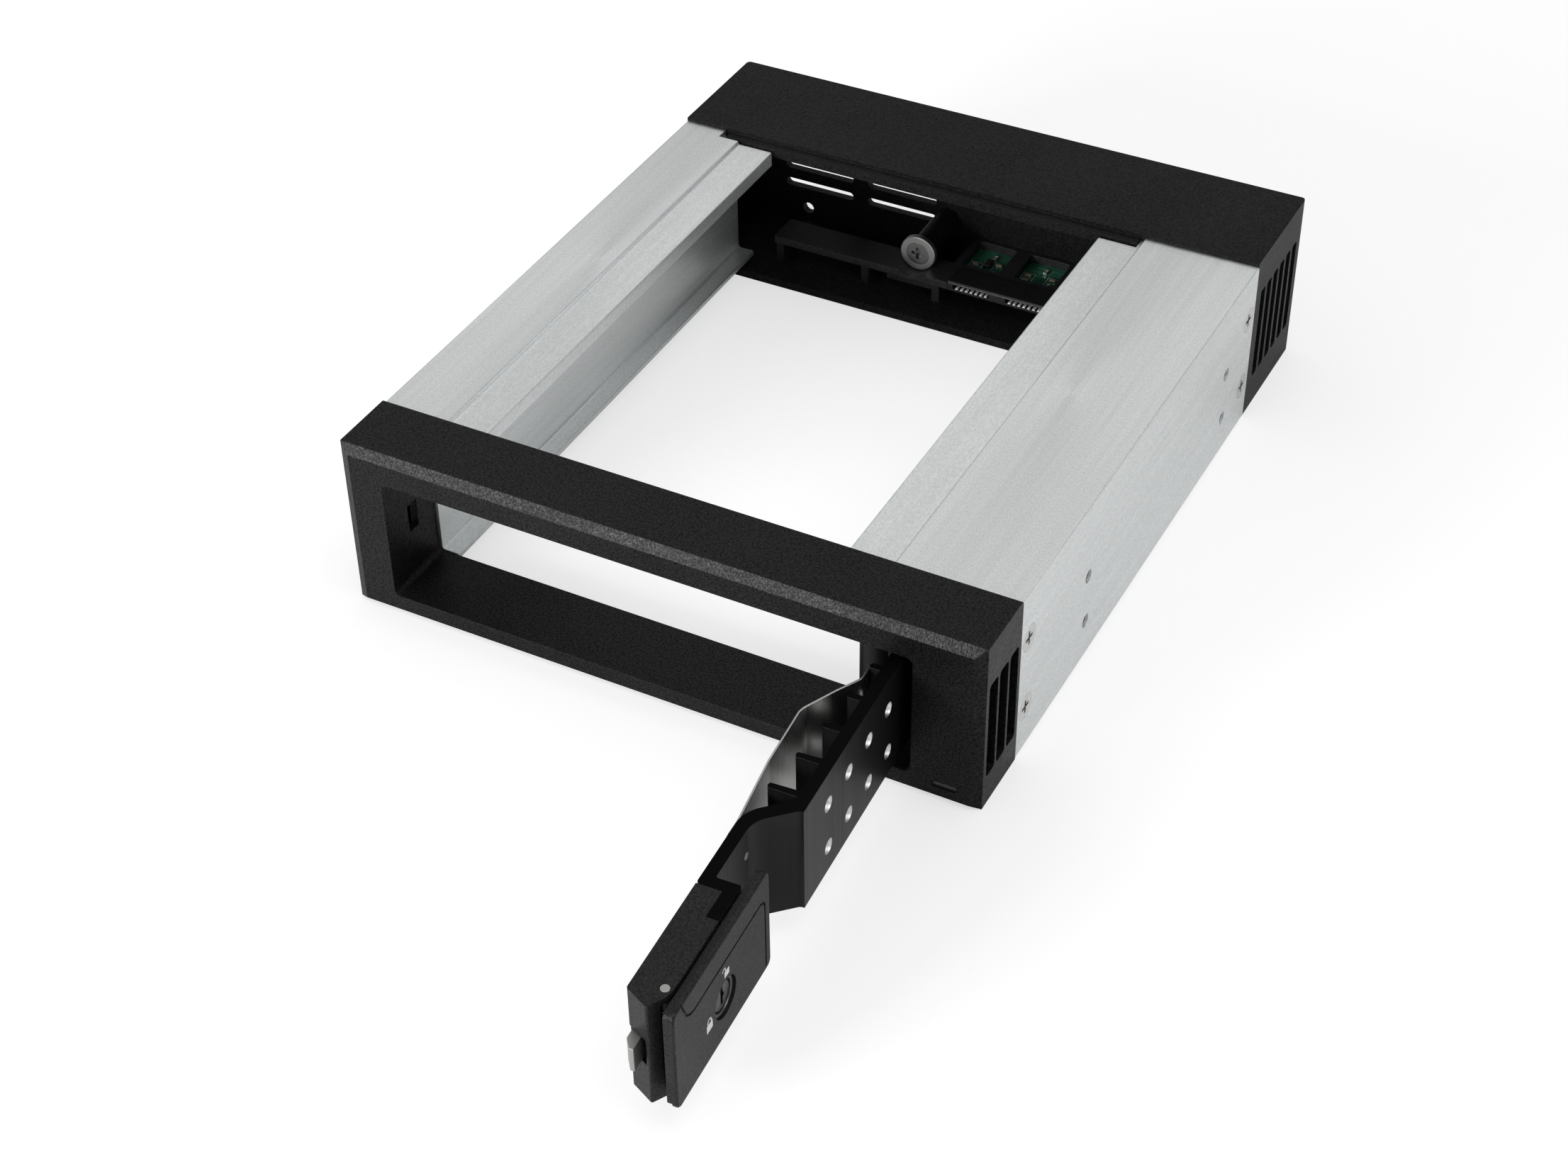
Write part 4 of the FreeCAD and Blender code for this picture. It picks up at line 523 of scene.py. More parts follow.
# Every finish of the cage. Each colour is linear, and roughness and metallic follow it.
FINISHES: Tuple[Finish, ...] = (
    MouldedPlastic("case_black", grey(0.0010), 0.36, grain_scale=2200.0, lift=12.0, specular=0.14,
                   glint=0.55, grain_depth=0.00009),
    MouldedPlastic("cap_black", grey(0.0030), 0.34, grain_scale=2200.0, lift=5.5, specular=0.06,
                   grain_depth=0.00009),
    MouldedPlastic("latch_black", grey(0.0045), 0.4, lift=3.4, grain_depth=0.00008, specular=0.19),
    MouldedPlastic("shelf_black", grey(0.0125), 0.38, lift=1.7, specular=0.3),
    MouldedPlastic("connector_black", grey(0.006), 0.3, grain_scale=4000.0, lift=1.6,
                   grain_depth=0.00002, specular=0.5),
    MouldedPlastic("bush_nylon", (0.55, 0.54, 0.5, 1.0), 0.45, grain_scale=3000.0, lift=1.1),
    DrawnMetal("rail_brushed", (0.82, 0.84, 0.84, 1.0), 0.42, 1.0, contrast=0.11, edge=0.0003, speck=0.09,
               edge_shade=0.7),
    DrawnMetal("door_anodised", (0.012, 0.012, 0.013, 1.0), 0.34, 0.5, lines=Direction.ALONG_Z, contrast=0.3,
               anisotropy=0.3, painted_end_shade=True),
    DrawnMetal("spring_strip", (0.5, 0.5, 0.49, 1.0), 0.27, 1.0, lines=Direction.ALONG_Z, contrast=0.06,
               depth=0.000005, anisotropy=0.0, speck=0.02),
    PlatedMetal("plated_steel", (0.78, 0.78, 0.77, 1.0), 0.18, 1.0),
    PlatedMetal("bare_metal", (0.88, 0.88, 0.87, 1.0), 0.3, 1.0),
    PlatedMetal("washer_zinc", (0.42, 0.42, 0.41, 1.0), 0.34, 1.0),
    PlatedMetal("screw_nickel", grey(0.24), 0.22, 1.0),
    PlatedMetal("lock_plated", (0.10, 0.10, 0.105, 1.0), 0.26, 0.9),
    PlatedMetal("contact_tin", (0.97, 0.97, 0.96, 1.0), 0.5, 0.4, edge=0.00005),
    PlatedMetal("contact_gold", (0.86, 0.68, 0.33, 1.0), 0.22, 1.0, edge=0.00005),
    PlatedMetal("solder_tin", (0.72, 0.73, 0.74, 1.0), 0.3, 1.0, edge=0.00005),
    SolderMask("board_green", (0.02, 0.115, 0.066, 1.0), 0.34),
    ClearBar("light_pipe", (0.12, 0.13, 0.135, 1.0), 0.15),
    MouldedPlastic("print_white", grey(0.62), 0.6, grain_scale=3000.0, grain_depth=0.00001, lift=1.15),
    MouldedPlastic("chip_body", (0.012, 0.012, 0.013, 1.0), 0.4, grain_scale=5000.0, lift=1.5),
    MouldedPlastic("chip_ceramic", (0.26, 0.2, 0.13, 1.0), 0.45, grain_scale=4000.0, lift=1.2),
)


# --- mesh helpers ---
def link(name: str, data: Any) -> bpy.types.Object:
    """Puts data into the scene as an object.

    Args:
        name: The object's name.
        data: Its mesh, lamp or camera.

    Returns:
        The object.
    """
    obj = bpy.data.objects.new(name, data)
    bpy.context.scene.collection.objects.link(obj)
    return obj


def settle(name: str, mesh: BMesh) -> bpy.types.Mesh:
    """Turns built geometry into a plain mesh.

    Args:
        name: The mesh's name.
        mesh: The geometry, which is freed.

    Returns:
        The mesh.
    """
    data = bpy.data.meshes.new(name)
    mesh.to_mesh(data)
    mesh.free()
    return data


@dataclass
class Workshop:
    """Makes pieces, gives each its finish and fixes it to its body."""

    palette: Dict[str, Material]
    nodes: Dict[str, bpy.types.Object]

    def dress(self, names: Iterable[str], finish: str) -> None:
        """Gives CAD nodes a finish.

        Args:
            names: The nodes.
            finish: The finish's name.
        """
        for name in names:
            obj = self.nodes[name]
            obj.data.materials.clear()
            obj.data.materials.append(self.palette[finish])
            LOG.info("dressed %s in %s", name, finish)

    def piece(self, name: str, shape: BMesh | bpy.types.Mesh, finish: str, body: Body, slot: str) -> None:
        """Adds a piece of the object.

        Args:
            name: The piece's name.
            shape: Its geometry, in place.
            finish: The finish's name.
            body: The body it rides on.
            slot: The record's material slot; not used.
        """
        if isinstance(shape, BMesh):
            bmesh.ops.recalc_face_normals(shape, faces=shape.faces[:])
            shape = settle(name, shape)
        obj = link(name, shape)
        shape.materials.clear()
        shape.materials.append(self.palette[finish])
        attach(obj, body.value)
        LOG.info("made %s on %s with %d faces", name, body.value, len(shape.polygons))


class OpenDoor:
    """Carries what is drawn on the shut door, in millimetres, to the open place it is stored in."""

    def __init__(self) -> None:
        """Finds the hinge line in the frame."""
        low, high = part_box("lower_hinge_pin")
        self.hinge = Vector(((low[0] + high[0]) / 2, (low[1] + high[1]) / 2, 0.0))
        self.turn = Matrix.Rotation(DOOR_OPEN, 3, "Z")

    def place(self, x: float, y: float, z: float) -> Vector:
        """Carries a place in millimetres on the shut door to the open door, in metres."""
        return self.turn @ (spot(x, y, z) - self.hinge) + self.hinge


def prism(mesh: BMesh, outline: Sequence[Span], start: float, end: float, upright: bool = True) -> None:
    """Adds a block with a flat outline.

    Args:
        mesh: The geometry to add to.
        outline: Corners in order, in the XZ plane, or in the XY plane if it isn't upright.
        start: Its near side on the third axis.
        end: Its far side.
        upright: Whether the outline stands.
    """
    near, far = ([mesh.verts.new((a, along, b) if upright else (a, b, along)) for a, b in outline]
                 for along in (start, end))
    mesh.faces.new(near)
    mesh.faces.new(far[::-1])
    for i, corner in enumerate(near):
        j = (i + 1) % len(near)
        mesh.faces.new((near[j], corner, far[i], far[j]))


class NodeRow(NodeWriter):
    """A Geometry Nodes tree that stands copies of one shape on a set of points."""

    def __init__(self, name: str, **sizes: str) -> None:
        """Opens an empty tree with named inputs.

        Args:
            name: The tree's name.
            **sizes: Name and socket type of each input.
        """
        super().__init__(bpy.data.node_groups.new(name, "GeometryNodeTree"))
        sockets = self.tree.interface
        sockets.new_socket(name="Geometry", in_out="OUTPUT", socket_type=GEOMETRY)
        self.ids: Dict[str, str] = {
            title: sockets.new_socket(name=title, in_out="INPUT", socket_type=kind).identifier
            for title, kind in {"Geometry": GEOMETRY, **sizes}.items()}
        self.ins = self.add("NodeGroupInput").outputs

    def sweep(self, path: Node, section: Node, caps: bool = False) -> Node:
        """Sweeps a section along a curve, with its ends closed if caps is set."""
        return self.add("GeometryNodeCurveToMesh", {"Curve": path.outputs[0], "Profile Curve": section.outputs[0],
                                                    "Fill Caps": caps})

    def stand(self, shape: Node, points: Socket) -> Node:
        """Stands a copy of a shape on every point and makes the copies real."""
        copies = self.add("GeometryNodeInstanceOnPoints", {"Points": points, "Instance": shape.outputs[0]})
        return self.add("GeometryNodeRealizeInstances", {0: copies.outputs[0]})

    def finish(self, shape: Node, material: Material) -> None:
        """Ends the tree with the shape on every point that comes in.

        Args:
            shape: What stands on each point.
            material: Its material.
        """
        placed = self.stand(shape, self.ins["Geometry"])
        painted = self.add("GeometryNodeSetMaterial", {"Geometry": placed.outputs[0], "Material": material})
        self.add("NodeGroupOutput", {0: painted.outputs[0]})

    def run(self, seed_points: Sequence[Vector], values: Dict[str, Any], name: str) -> bpy.types.Mesh:
        """Runs the tree over a set of points and keeps the result as a plain mesh.

        Args:
            seed_points: The points that instances stand on.
            values: The named inputs.
            name: The mesh's name.

        Returns:
            The mesh.
        """
        data = bpy.data.meshes.new(name + "_points")
        data.from_pydata([tuple(p) for p in seed_points], [], [])
        carrier = link(name + "_carrier", data)
        modifier = carrier.modifiers.new("rows", "NODES")
        modifier.node_group = self.tree
        for key, value in values.items():
            modifier[self.ids[key]] = value
        bpy.context.view_layer.update()
        ready = carrier.evaluated_get(bpy.context.evaluated_depsgraph_get())
        mesh = bpy.data.meshes.new_from_object(ready)
        mesh.name = name
        carrier.modifiers.remove(modifier)
        bpy.data.objects.remove(carrier)
        return mesh


def thread_tree(material: Material) -> NodeRow:
    """Tree for the ridges of a screw thread inside a hole along X.

    Args:
        material: The ridges' finish.

    Returns:
        The tree, with the inputs Radius, Ridge, Pitch and Turns.
    """
    row = NodeRow("thread_ridges", Radius=FLOAT, Ridge=FLOAT, Pitch=FLOAT, Turns=INTEGER)
    ring = row.add("GeometryNodeCurvePrimitiveCircle", {"Resolution": 24, "Radius": row.ins["Radius"]})
    section = row.add("GeometryNodeCurvePrimitiveCircle", {"Resolution": 4, "Radius": row.ins["Ridge"]})
    turned = row.add("GeometryNodeTransform", {"Geometry": row.sweep(ring, section).outputs[0],
                                               "Rotation": (0.0, QUARTER_TURN, 0.0)})
    step = row.add("ShaderNodeCombineXYZ", {0: row.ins["Pitch"]})
    line = row.add("GeometryNodeMeshLine", {"Count": row.ins["Turns"], "Offset": step.outputs[0]})
    row.finish(row.stand(turned, line.outputs[0]), material)
    return row


def sleeve_tree(material: Material) -> NodeRow:
    """Tree for thin sleeves that stand square to the open door.

    Args:
        material: The sleeves' finish.

    Returns:
        The tree, with the inputs Radius, Wall and Length.
    """
    row = NodeRow("bore_sleeves", Radius=FLOAT, Wall=FLOAT, Length=FLOAT)
    ring = row.add("GeometryNodeCurvePrimitiveCircle", {"Resolution": 40, "Radius": row.ins["Radius"]})
    section = row.add("GeometryNodeCurvePrimitiveQuadrilateral",
                      {"Width": row.ins["Wall"], "Height": row.ins["Length"]})
    square = row.add("GeometryNodeTransform", {"Geometry": row.sweep(ring, section).outputs[0],
                                               "Rotation": (QUARTER_TURN, 0.0, DOOR_OPEN)})
    row.finish(square, material)
    return row


def lead_tree(material: Material) -> NodeRow:
    """Tree for a row of soldered leads, each a bent strip that runs back and down to the board.

    Args:
        material: The leads' finish.

    Returns:
        The tree, with the inputs Reach, Drop and Width.
    """
    row = NodeRow("lead_row", Reach=FLOAT, Drop=FLOAT, Width=FLOAT)
    half = row.add("ShaderNodeMath", {0: row.ins["Reach"], 1: 0.5}, operation="MULTIPLY").outputs[0]
    low = row.add("ShaderNodeMath", {0: row.ins["Drop"], 1: -1.0}, operation="MULTIPLY").outputs[0]
    corners = [row.add("ShaderNodeCombineXYZ", place).outputs[0]
               for place in ({}, {1: half}, {1: half, 2: low}, {1: row.ins["Reach"], 2: low})]
    join = row.add("GeometryNodeJoinGeometry")
    for start, end in zip(corners, corners[1:]):
        part = row.add("GeometryNodeCurvePrimitiveLine", {"Start": start, "End": end})
        row.tree.links.new(part.outputs[0], join.inputs[0])
    thick = row.add("ShaderNodeMath", {0: row.ins["Width"], 1: LEAD_FLATNESS}, operation="MULTIPLY")
    section = row.add("GeometryNodeCurvePrimitiveQuadrilateral",
                      {"Width": thick.outputs[0], "Height": row.ins["Width"]})
    row.finish(row.sweep(join, section, caps=True), material)
    return row


# --- sub-assemblies ---
@dataclass
class SubAssembly:
    """A group of CAD nodes and the small pieces added to them."""

    COATS: ClassVar[Dict[str, Tuple[str, ...]]] = {}
    shop: Workshop

    def build(self) -> None:
        """Gives every node its finish and adds the pieces."""
        LOG.info("building %s", type(self).__name__)
        for finish, names in self.COATS.items():
            self.shop.dress(names, finish)
        self.add_pieces()

    def add_pieces(self) -> None:
        """Adds the pieces, where the group has any."""


@dataclass
class Bezel(SubAssembly):
    """Front moulding with its light pipe and hinge hardware. Sizes are in millimetres."""

    COATS = {
        "case_black": ("front_bezel",),
        "light_pipe": ("led_light_pipe",),
        "board_green": ("led_board",),
        "plated_steel": ("lower_hinge_pin", "upper_hinge_pin", "bezel_screws"),
        "bush_nylon": ("hinge_bushes",)}
    lamp_size: Triple = (1.7, 0.8, 1.0)
    lamp_taper: float = 0.86
    lamp_round: float = 0.12

    def add_pieces(self) -> None:
        """Small lamp body on the board, behind the light pipe."""
        low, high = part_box("led_light_pipe")
        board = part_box("led_board")[0][1]
        middle = Vector(((low[0] + high[0]) / 2, board - self.lamp_size[1] * MM / 2, (low[2] + high[2]) / 2))
        mesh = bmesh.new()
        bmesh.ops.create_cube(mesh, size=1.0)
        for vertex in mesh.verts:
            taper = self.lamp_taper if vertex.co.y < 0 else 1.0
            x, y, z = (c * size * MM for c, size in zip(vertex.co, self.lamp_size))
            vertex.co = Vector((x * taper, y, z * taper)) + middle
        bmesh.ops.bevel(mesh, geom=mesh.edges[:], offset=self.lamp_round * MM, segments=2, affect="EDGES")
        self.shop.piece("led_lamp", mesh, "print_white", Body.CAGE, "clear_pipe")


@dataclass
class Rails(SubAssembly):
    """The two extrusions with their tapped side holes. Sizes are in millimetres."""

    COATS = {"rail_brushed": ("left_rail", "right_rail"), "plated_steel": ("cap_screws",)}
    hole_ys: Span = (52.0, 131.25)
    hole_zs: Span = (10.0, 21.84)
    hole_radius: float = 1.5
    hole_depth: float = 4.0
    left_inset: float = 0.2
    thread_pitch: float = 0.5
    thread_inset: float = 0.06
    ridge: float = 0.13

    def add_pieces(self) -> None:
        """Cuts the look of a thread into each tapped hole."""
        tree = thread_tree(self.shop.palette["rail_brushed"])
        values = {"Radius": (self.hole_radius - self.thread_inset) * MM, "Ridge": self.ridge * MM,
                  "Pitch": self.thread_pitch * MM, "Turns": int(self.hole_depth / self.thread_pitch)}
        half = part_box("right_rail")[1][0] / MM
        for name, start in (("right", half - self.hole_depth), ("left", self.left_inset - half)):
            points = [spot(start, y, z) for y in self.hole_ys for z in self.hole_zs]
            mesh = tree.run(points, values, name + "_threads")
            self.shop.piece(name + "_threads", mesh, "rail_brushed", Body.CAGE, "rail_aluminium")


@dataclass
class RearCap(SubAssembly):
    """Rear moulding with the drive stop."""

    COATS = {"cap_black": ("rear_cap",), "washer_zinc": ("stop_washer",), "screw_nickel": ("stop_screw",)}


@dataclass
class Backplane(SubAssembly):
    """Board, shelf and sockets at the back of the bay.

    Sizes are in millimetres, and places are measured from the middle and from the bezel's front face.

    Attributes:
        lead: Reach, drop and width of a soldered lead.
        lead_rise: Height of its start above the board.
        chips: Middle of each small part, and whether it lies along Y.
        chip_size: Length, width and height of its body.
        cap_size: The same for its metal end.
        cap_shift: From its middle to the middle of an end.
        package: Middle of the one larger part.
        ease: Bevel on their edges.
        outlines: Middle, width and depth of each printed outline.
    """

    COATS = {
        "shelf_black": ("connector_shelf",),
        "connector_black": ("drive_receptacle", "rear_data_socket", "rear_power_socket"),
        "board_green": ("backplane_board",),
        "plated_steel": ("board_screws",),
        "contact_tin": ("signal_contacts", "power_contacts"),
        "contact_gold": ("rear_contacts",)}
    lead_pitch: float = 1.27
    lead: Triple = (1.5, 0.65, 0.42)
    lead_rise: float = 0.75
    chips: Tuple[Tuple[float, float, bool], ...] = (
        (-4.6, 166.4, False), (-4.6, 168.4, False), (-1.2, 172.6, True), (0.9, 166.0, True), (9.0, 167.2, False),
        (9.0, 169.4, False), (12.4, 172.4, True), (15.2, 166.8, True), (15.2, 169.8, False), (1.0, 170.0, False))
    chip_size: Triple = (1.1, 0.85, 0.5)
    cap_size: Triple = (0.32, 0.9, 0.55)
    cap_shift: float = 0.66
    package: Span = (-1.6, 169.2)
    package_size: Triple = (2.9, 1.6, 1.0)
    ease: float = 0.06
    outlines: Tuple[Tuple[float, ...], ...] = (
        (-4.6, 167.4, 3.2, 4.4), (9.0, 168.3, 3.2, 4.6), (-1.6, 169.2, 2.8, 4.2), (15.2, 168.3, 3.0, 5.2))
    print_line: float = 0.12
    print_height: float = 0.03

    def add_pieces(self) -> None:
        """Adds the board's small parts."""
        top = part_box("backplane_board")[1][2] / MM
        self._leads(top)
        self._chips(top)
        self._outlines(top)

    def _leads(self, top: float) -> None:
        """Soldered leads behind the drive receptacle.

        Args:
            top: Height of the board's upper face.
        """
        tree = lead_tree(self.shop.palette["solder_tin"])
        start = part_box("drive_receptacle")[1][1] - 0.05 * MM
        rise = (top + self.lead_rise) * MM
        margin = 0.3 * MM
        points: List[Vector] = []
        for node in ("signal_contacts", "power_contacts"):
            low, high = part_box(node)
            count = round((high[0] - low[0]) / (self.lead_pitch * MM)) + 1
            step = (high[0] - low[0] - 2 * margin) / (count - 1)
            points += [Vector((low[0] + margin + i * step, start, rise)) for i in range(count)]
        values = dict(zip(("Reach", "Drop", "Width"), (size * MM for size in self.lead)))
        self.shop.piece("receptacle_leads", tree.run(points, values, "receptacle_leads"), "solder_tin", Body.CAGE,
                        "bright_steel")

    def _chips(self, top: float) -> None:
        """Chip capacitors and one small package that show through the shelf's windows.

        Args:
            top: Height of the board's upper face.
        """
        bodies, ends, package = bmesh.new(), bmesh.new(), bmesh.new()
        for x, y, turned in self.chips:
            centre = spot(x, y, top)
            self._chip(bodies, centre, self.chip_size, turned, 0.0)
            for side in (-1, 1):
                self._chip(ends, centre, self.cap_size, turned, side * self.cap_shift)
        self._chip(package, spot(*self.package, top), self.package_size, True, 0.0)
        self.shop.piece("chip_bodies", bodies, "chip_ceramic", Body.CAGE, "connector_black")
        self.shop.piece("chip_ends", ends, "solder_tin", Body.CAGE, "bright_steel")
        self.shop.piece("small_package", package, "chip_body", Body.CAGE, "connector_black")

    def _chip(self, mesh: BMesh, centre: Vector, size: Triple, turned: bool, shift: float) -> None:
        """Adds one eased block that stands on the board.

        Args:
            mesh: The geometry to add to.
            centre: Its middle on the board.
            size: Length, width and height.
            turned: Whether it lies along Y.
            shift: Offset along its length.
        """
        made = bmesh.ops.create_cube(mesh, size=1.0)["verts"]
        for vertex in made:
            local = Vector((vertex.co.x * size[0] + shift, vertex.co.y * size[1], (vertex.co.z + 0.5) * size[2]))
            if turned:
                local = Vector((-local.y, local.x, local.z))
            vertex.co = local * MM + centre
        edges = [e for e in mesh.edges if e.verts[0] in made and e.verts[1] in made]
        bmesh.ops.bevel(mesh, geom=edges, offset=self.ease * MM, segments=1, affect="EDGES")

    def _outlines(self, top: float) -> None:
        """Printed outlines round the parts on the board.

        Args:
            top: Height of the board's upper face.
        """
        mesh = bmesh.new()
        line = self.print_line
        for x, y, wide, deep in self.outlines:
            left, right, near, far = x - wide / 2, x + wide / 2, y - deep / 2, y + deep / 2
            for x0, x1, y0, y1 in ((left, right, near, near + line), (left, right, far - line, far),
                                   (left, left + line, near + line, far - line),
                                   (right - line, right, near + line, far - line)):
                prism(mesh, ((x0, y0), (x1, y0), (x1, y1), (x0, y1)), top + self.print_height, top, upright=False)
        for vertex in mesh.verts:
            vertex.co = spot(*vertex.co)
        self.shop.piece("board_print", mesh, "print_white", Body.CAGE, "board_green")


@dataclass
class Door(SubAssembly):
    """Extruded door with its leaf spring and latch housing.

    Sizes are in millimetres, and places are measured on the shut door.

    Attributes:
        vent_first: The vent column nearest the middle.
        plate: Front and back of the plate the vents go through.
        bare_wall: Thickness of the bare lining of a hole.
        side_gap: From the lining to the hole's wall.
        end_gap: From the lining to the plate's face.
    """

    COATS = {
        "door_anodised": ("door_frame",),
        "spring_strip": ("leaf_spring", "bolt_retainer", "handle_spring"),
        "latch_black": ("latch_housing",),
        "plated_steel": ("spring_rivets", "housing_screws", "retainer_screws"),
        "washer_zinc": ("handle_pin",)}
    vent_first: float = 2.0
    vent_pitch: float = 9.4
    vent_columns: int = 4
    vent_rows: Span = (13.15, 24.05)
    vent_radius: float = 1.7
    plate: Span = (1.3, 3.9)
    bare_wall: float = 0.1
    side_gap: float = 0.01
    end_gap: float = 0.03

    def add_pieces(self) -> None:
        """Bares the metal inside the holes, which are drilled after the door is coloured."""
        tree = sleeve_tree(self.shop.palette["bare_metal"])
        door = OpenDoor()
        points = [door.place(self.vent_first + i * self.vent_pitch, sum(self.plate) / 2, z)
                  for i in range(self.vent_columns) for z in self.vent_rows]
        depth = self.plate[1] - self.plate[0]
        values = {"Radius": (self.vent_radius - self.side_gap - self.bare_wall / 2) * MM,
                  "Wall": self.bare_wall * MM, "Length": (depth - 2 * self.end_gap) * MM}
        self.shop.piece("vent_bores", tree.run(points, values, "vent_bores"), "bare_metal", Body.DOOR,
                        "bright_steel")


@dataclass(frozen=True)
class Padlock:
    """A padlock sign, drawn in units of its size.

    Attributes:
        size: Millimetres to one unit.
        lift: How far the shackle is raised.
        swing: How far it is swung aside.
        half: Half the body's width.
        base: The body's lower edge.
        shoulder: Its upper edge.
        crown: Where the shackle's arch begins.
    """

    size: float
    lift: float = 0.0
    swing: float = 0.0
    half: float = 0.85
    base: float = -1.1
    shoulder: float = 0.25
    crown: float = 0.55
    inner: float = 0.36
    outer: float = 0.64
    steps: int = 10

    def build(self, mesh: BMesh, x: float, z: float, y0: float, y1: float) -> None:
        """Adds the sign.

        Args:
            mesh: The geometry to add to.
            x: Its middle, millimetres on the shut door.
            z: Its height.
            y0: Front of the print.
            y1: Back of the print.
        """
        top = self.crown + self.lift
        blocks = [self._block(-self.half, self.half, self.base, self.shoulder)]
        for i in range(self.steps):
            a0, a1 = (math.pi * k / self.steps for k in (i, i + 1))
            blocks.append([(r * math.cos(a) + self.swing, r * math.sin(a) + top)
                           for r, a in ((self.inner, a0), (self.outer, a0), (self.outer, a1), (self.inner, a1))])
        if not self.swing:
            blocks.append(self._block(-self.outer, -self.inner, self.shoulder, top))
        blocks.append(self._block(self.swing + self.inner, self.swing + self.outer, self.shoulder, top))
        for block in blocks:
            prism(mesh, [(x + a * self.size, z + b * self.size) for a, b in block], y0, y1)

    @staticmethod
    def _block(left: float, right: float, low: float, high: float) -> List[Span]:
        """Corners of an upright rectangle, in order."""
        return [(left, low), (right, low), (right, high), (left, high)]


@dataclass
class Latch(SubAssembly):
    """Handle, bolt and key lock. Sizes are in millimetres on the shut door."""

    COATS = {
        "latch_black": ("handle_cover", "handle_lever"),
        "washer_zinc": ("latch_bolt", "lock_cam"),
        "lock_plated": ("lock_sleeve", "lock_barrel")}
    lock_x: float = -42.4
    lock_z: float = 16.9
    face_y: float = 1.2
    print_height: float = 0.04
    print_sink: float = 0.01

    def add_pieces(self) -> None:
        """Prints an open and a closed padlock beside the keyway."""
        mesh = bmesh.new()
        y0, y1 = self.face_y - self.print_height, self.face_y + self.print_sink
        Padlock(1.1, lift=0.15, swing=-0.95).build(mesh, self.lock_x + 0.7, self.lock_z + 6.2, y0, y1)
        Padlock(1.35).build(mesh, self.lock_x - 6.5, self.lock_z - 0.3, y0, y1)
        door = OpenDoor()
        for vertex in mesh.verts:
            vertex.co = door.place(*vertex.co)
        self.shop.piece("lock_signs", mesh, "print_white", Body.HANDLE, "moulding_black")


# --- studio ---
@dataclass(frozen=True)
class Lamp:
    """A soft rectangular lamp.

    Attributes:
        name: Its name.
        place: Where it stands.
        size: Width and height.
        power: Watts.
    """

    name: str
    place: Triple
    size: Span
    power: float

    def build(self, aim: Vector) -> None:
        """Adds the lamp.

        Args:
            aim: What it points at.
        """
        data = bpy.data.lights.new(self.name, "AREA")
        data.shape = "RECTANGLE"
        data.size, data.size_y = self.size
        data.energy = self.power
        lamp = link(self.name, data)
        lamp.location = self.place
        lamp.rotation_euler = (aim - Vector(self.place)).to_track_quat("-Z", "Y").to_euler()


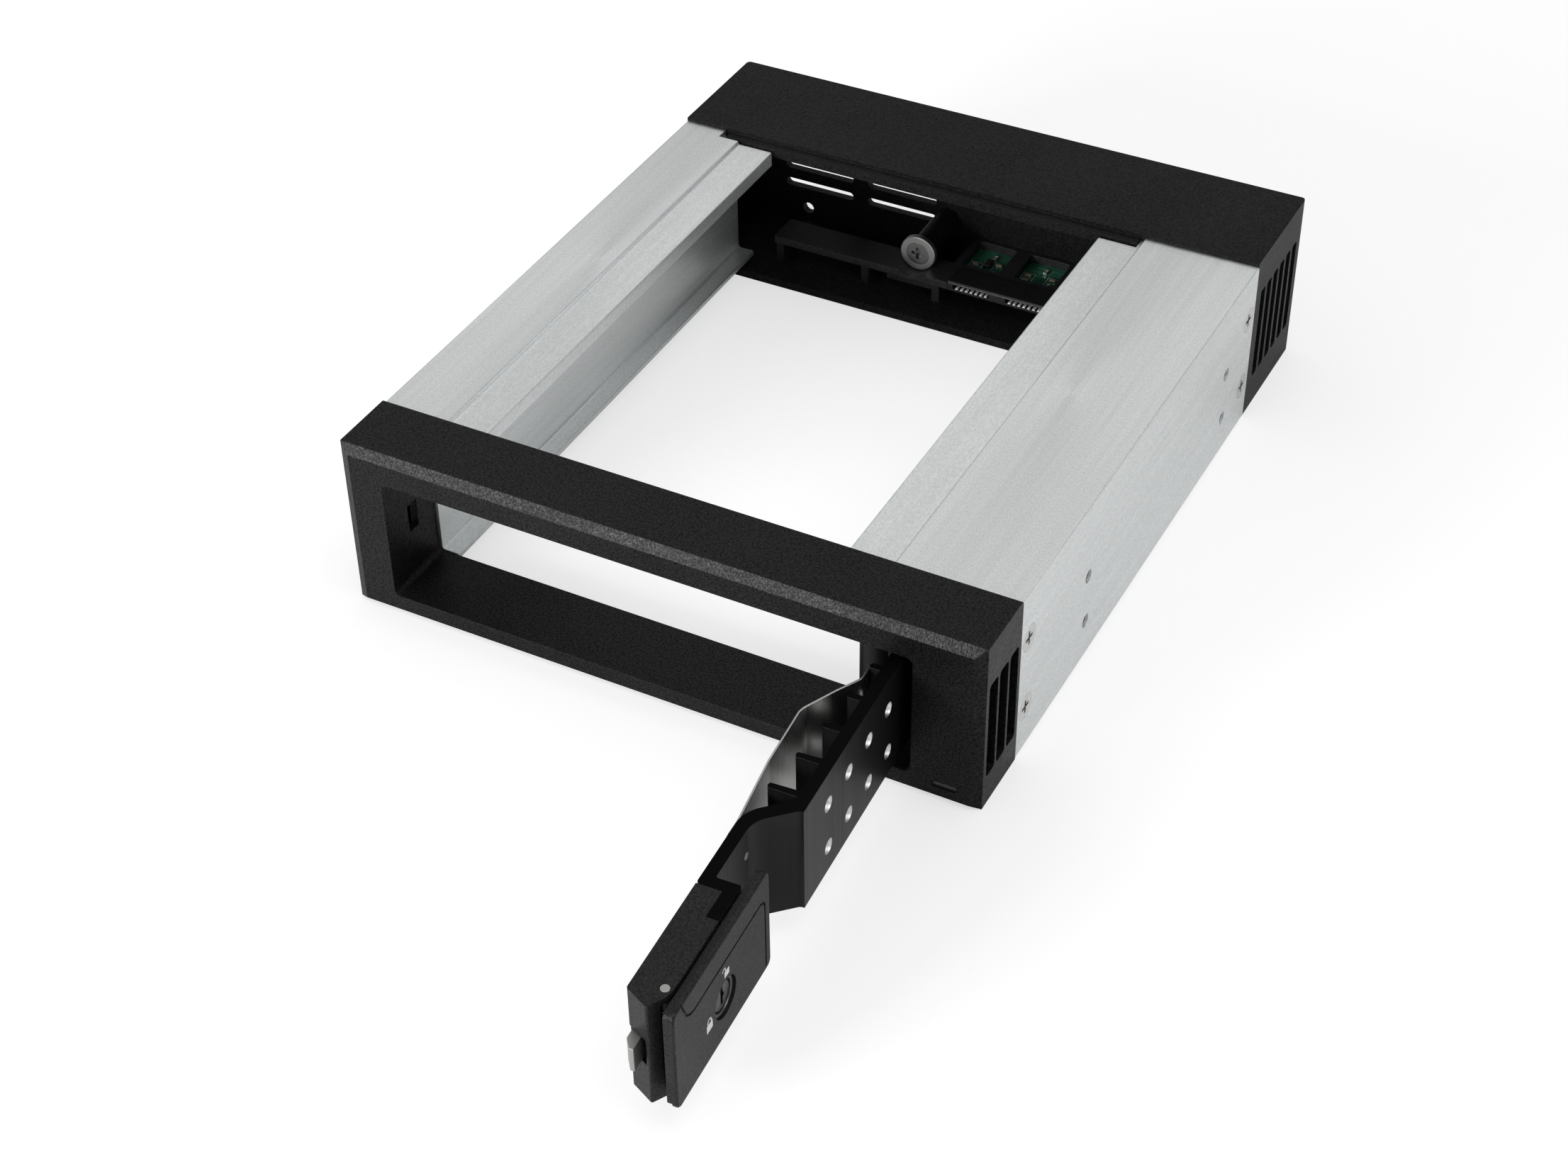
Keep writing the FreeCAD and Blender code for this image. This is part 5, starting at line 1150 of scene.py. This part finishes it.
@dataclass
class Studio:
    """Camera, floor, backdrop and lamps: a low key lamp in front, a softbox overhead and a fill from the right.

    Angles are in degrees, lens and sensor in millimetres.
    """

    target: Triple = (-0.003872, 0.055685, -0.01910)
    distance: float = 0.61442
    azimuth: float = 28.182
    elevation: float = 39.646
    roll: float = -0.902
    lens: float = 62.368535
    sensor: float = 36.0
    clip: Span = (0.01, 20.0)
    floor_half: float = 4.0
    floor_drop: float = 0.0002
    aim: Triple = (0.0, 0.05, 0.02)
    lamps: Tuple[Lamp, ...] = (
        Lamp("front_key", (-0.52, -1.06, 0.34), (0.5, 0.35), 15.5),
        Lamp("overhead", (0.45, -0.1, 1.1), (0.6, 0.6), 1.6),
        Lamp("right_fill", (1.0, 0.1, 0.35), (0.5, 0.4), 1.8))

    def build_camera(self) -> None:
        """Sets up the camera at its viewing angle."""
        turn, rise = math.radians(self.azimuth), math.radians(self.elevation)
        away = Vector((math.sin(turn) * math.cos(rise), -math.cos(turn) * math.cos(rise), math.sin(rise)))
        data = bpy.data.cameras.new("studio_camera")
        data.sensor_width = self.sensor
        data.sensor_fit = "HORIZONTAL"
        data.lens = self.lens
        data.clip_start, data.clip_end = self.clip
        camera = link("studio_camera", data)
        camera.location = Vector(self.target) + away * self.distance
        tilt = Quaternion((0.0, 0.0, 1.0), math.radians(self.roll))
        camera.rotation_mode = "QUATERNION"
        camera.rotation_quaternion = (-away).to_track_quat("-Z", "Y") @ tilt
        bpy.context.scene.camera = camera

    def build_floor(self) -> None:
        """White floor that keeps a soft shadow."""
        mesh = bmesh.new()
        bmesh.ops.create_grid(mesh, x_segments=1, y_segments=1, size=self.floor_half)
        floor = link("floor", settle("floor", mesh))
        floor.location = (0.0, 0.0, -self.floor_drop)
        floor.data.materials.append(self._floor_material())

    @staticmethod
    def _floor_material() -> Material:
        """Pale floor that the camera sees as lifted to white.

        Returns:
            The material.
        """
        material = bpy.data.materials.new("studio_floor")
        w = blank_tree(material)
        plain, soft = (w.add("ShaderNodeBsdfDiffuse", {"Color": grey(v)}).outputs[0] for v in (0.8, 0.42))
        glow = w.add("ShaderNodeEmission", {"Color": grey(1.0), "Strength": 0.6}).outputs[0]
        lifted = w.add("ShaderNodeAddShader", {0: soft, 1: glow}).outputs[0]
        w.add("ShaderNodeOutputMaterial", {"Surface": w.split(plain, lifted)})
        return material

    @staticmethod
    def build_world() -> None:
        """Soft light from all round, brighter overhead, white where the camera sees it."""
        world = bpy.data.worlds.new("studio_world")
        bpy.context.scene.world = world
        w = blank_tree(world)
        view = w.add("ShaderNodeTexCoord").outputs["Generated"]
        height = w.add("ShaderNodeSeparateXYZ", {0: view}).outputs[2]
        even, white = (w.add("ShaderNodeBackground", {"Color": grey(1.0), "Strength": strength}).outputs[0]
                       for strength in (w.ramp(height, 0.48, 0.66, 0.4, 0.82), 1.0))
        w.add("ShaderNodeOutputWorld", {"Surface": w.split(even, white)})

    def build(self) -> None:
        """Builds everything but the camera."""
        self.build_world()
        self.build_floor()
        for lamp in self.lamps:
            lamp.build(Vector(self.aim))
        bpy.context.scene.view_settings.view_transform = "Standard"


def main() -> None:
    """Loads the frame, dresses every sub-assembly and sets up the studio."""
    logging.basicConfig(level=logging.INFO, format="%(name)s: %(message)s")
    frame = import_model()
    studio = Studio()
    studio.build_camera()
    effects = EffectGroups()
    shop = Workshop({finish.name: finish.build(effects) for finish in FINISHES}, frame["nodes"])
    for kind in (Bezel, Rails, RearCap, Backplane, Door, Latch):
        kind(shop).build()
    studio.build()


if __name__ == "__main__":
    main()
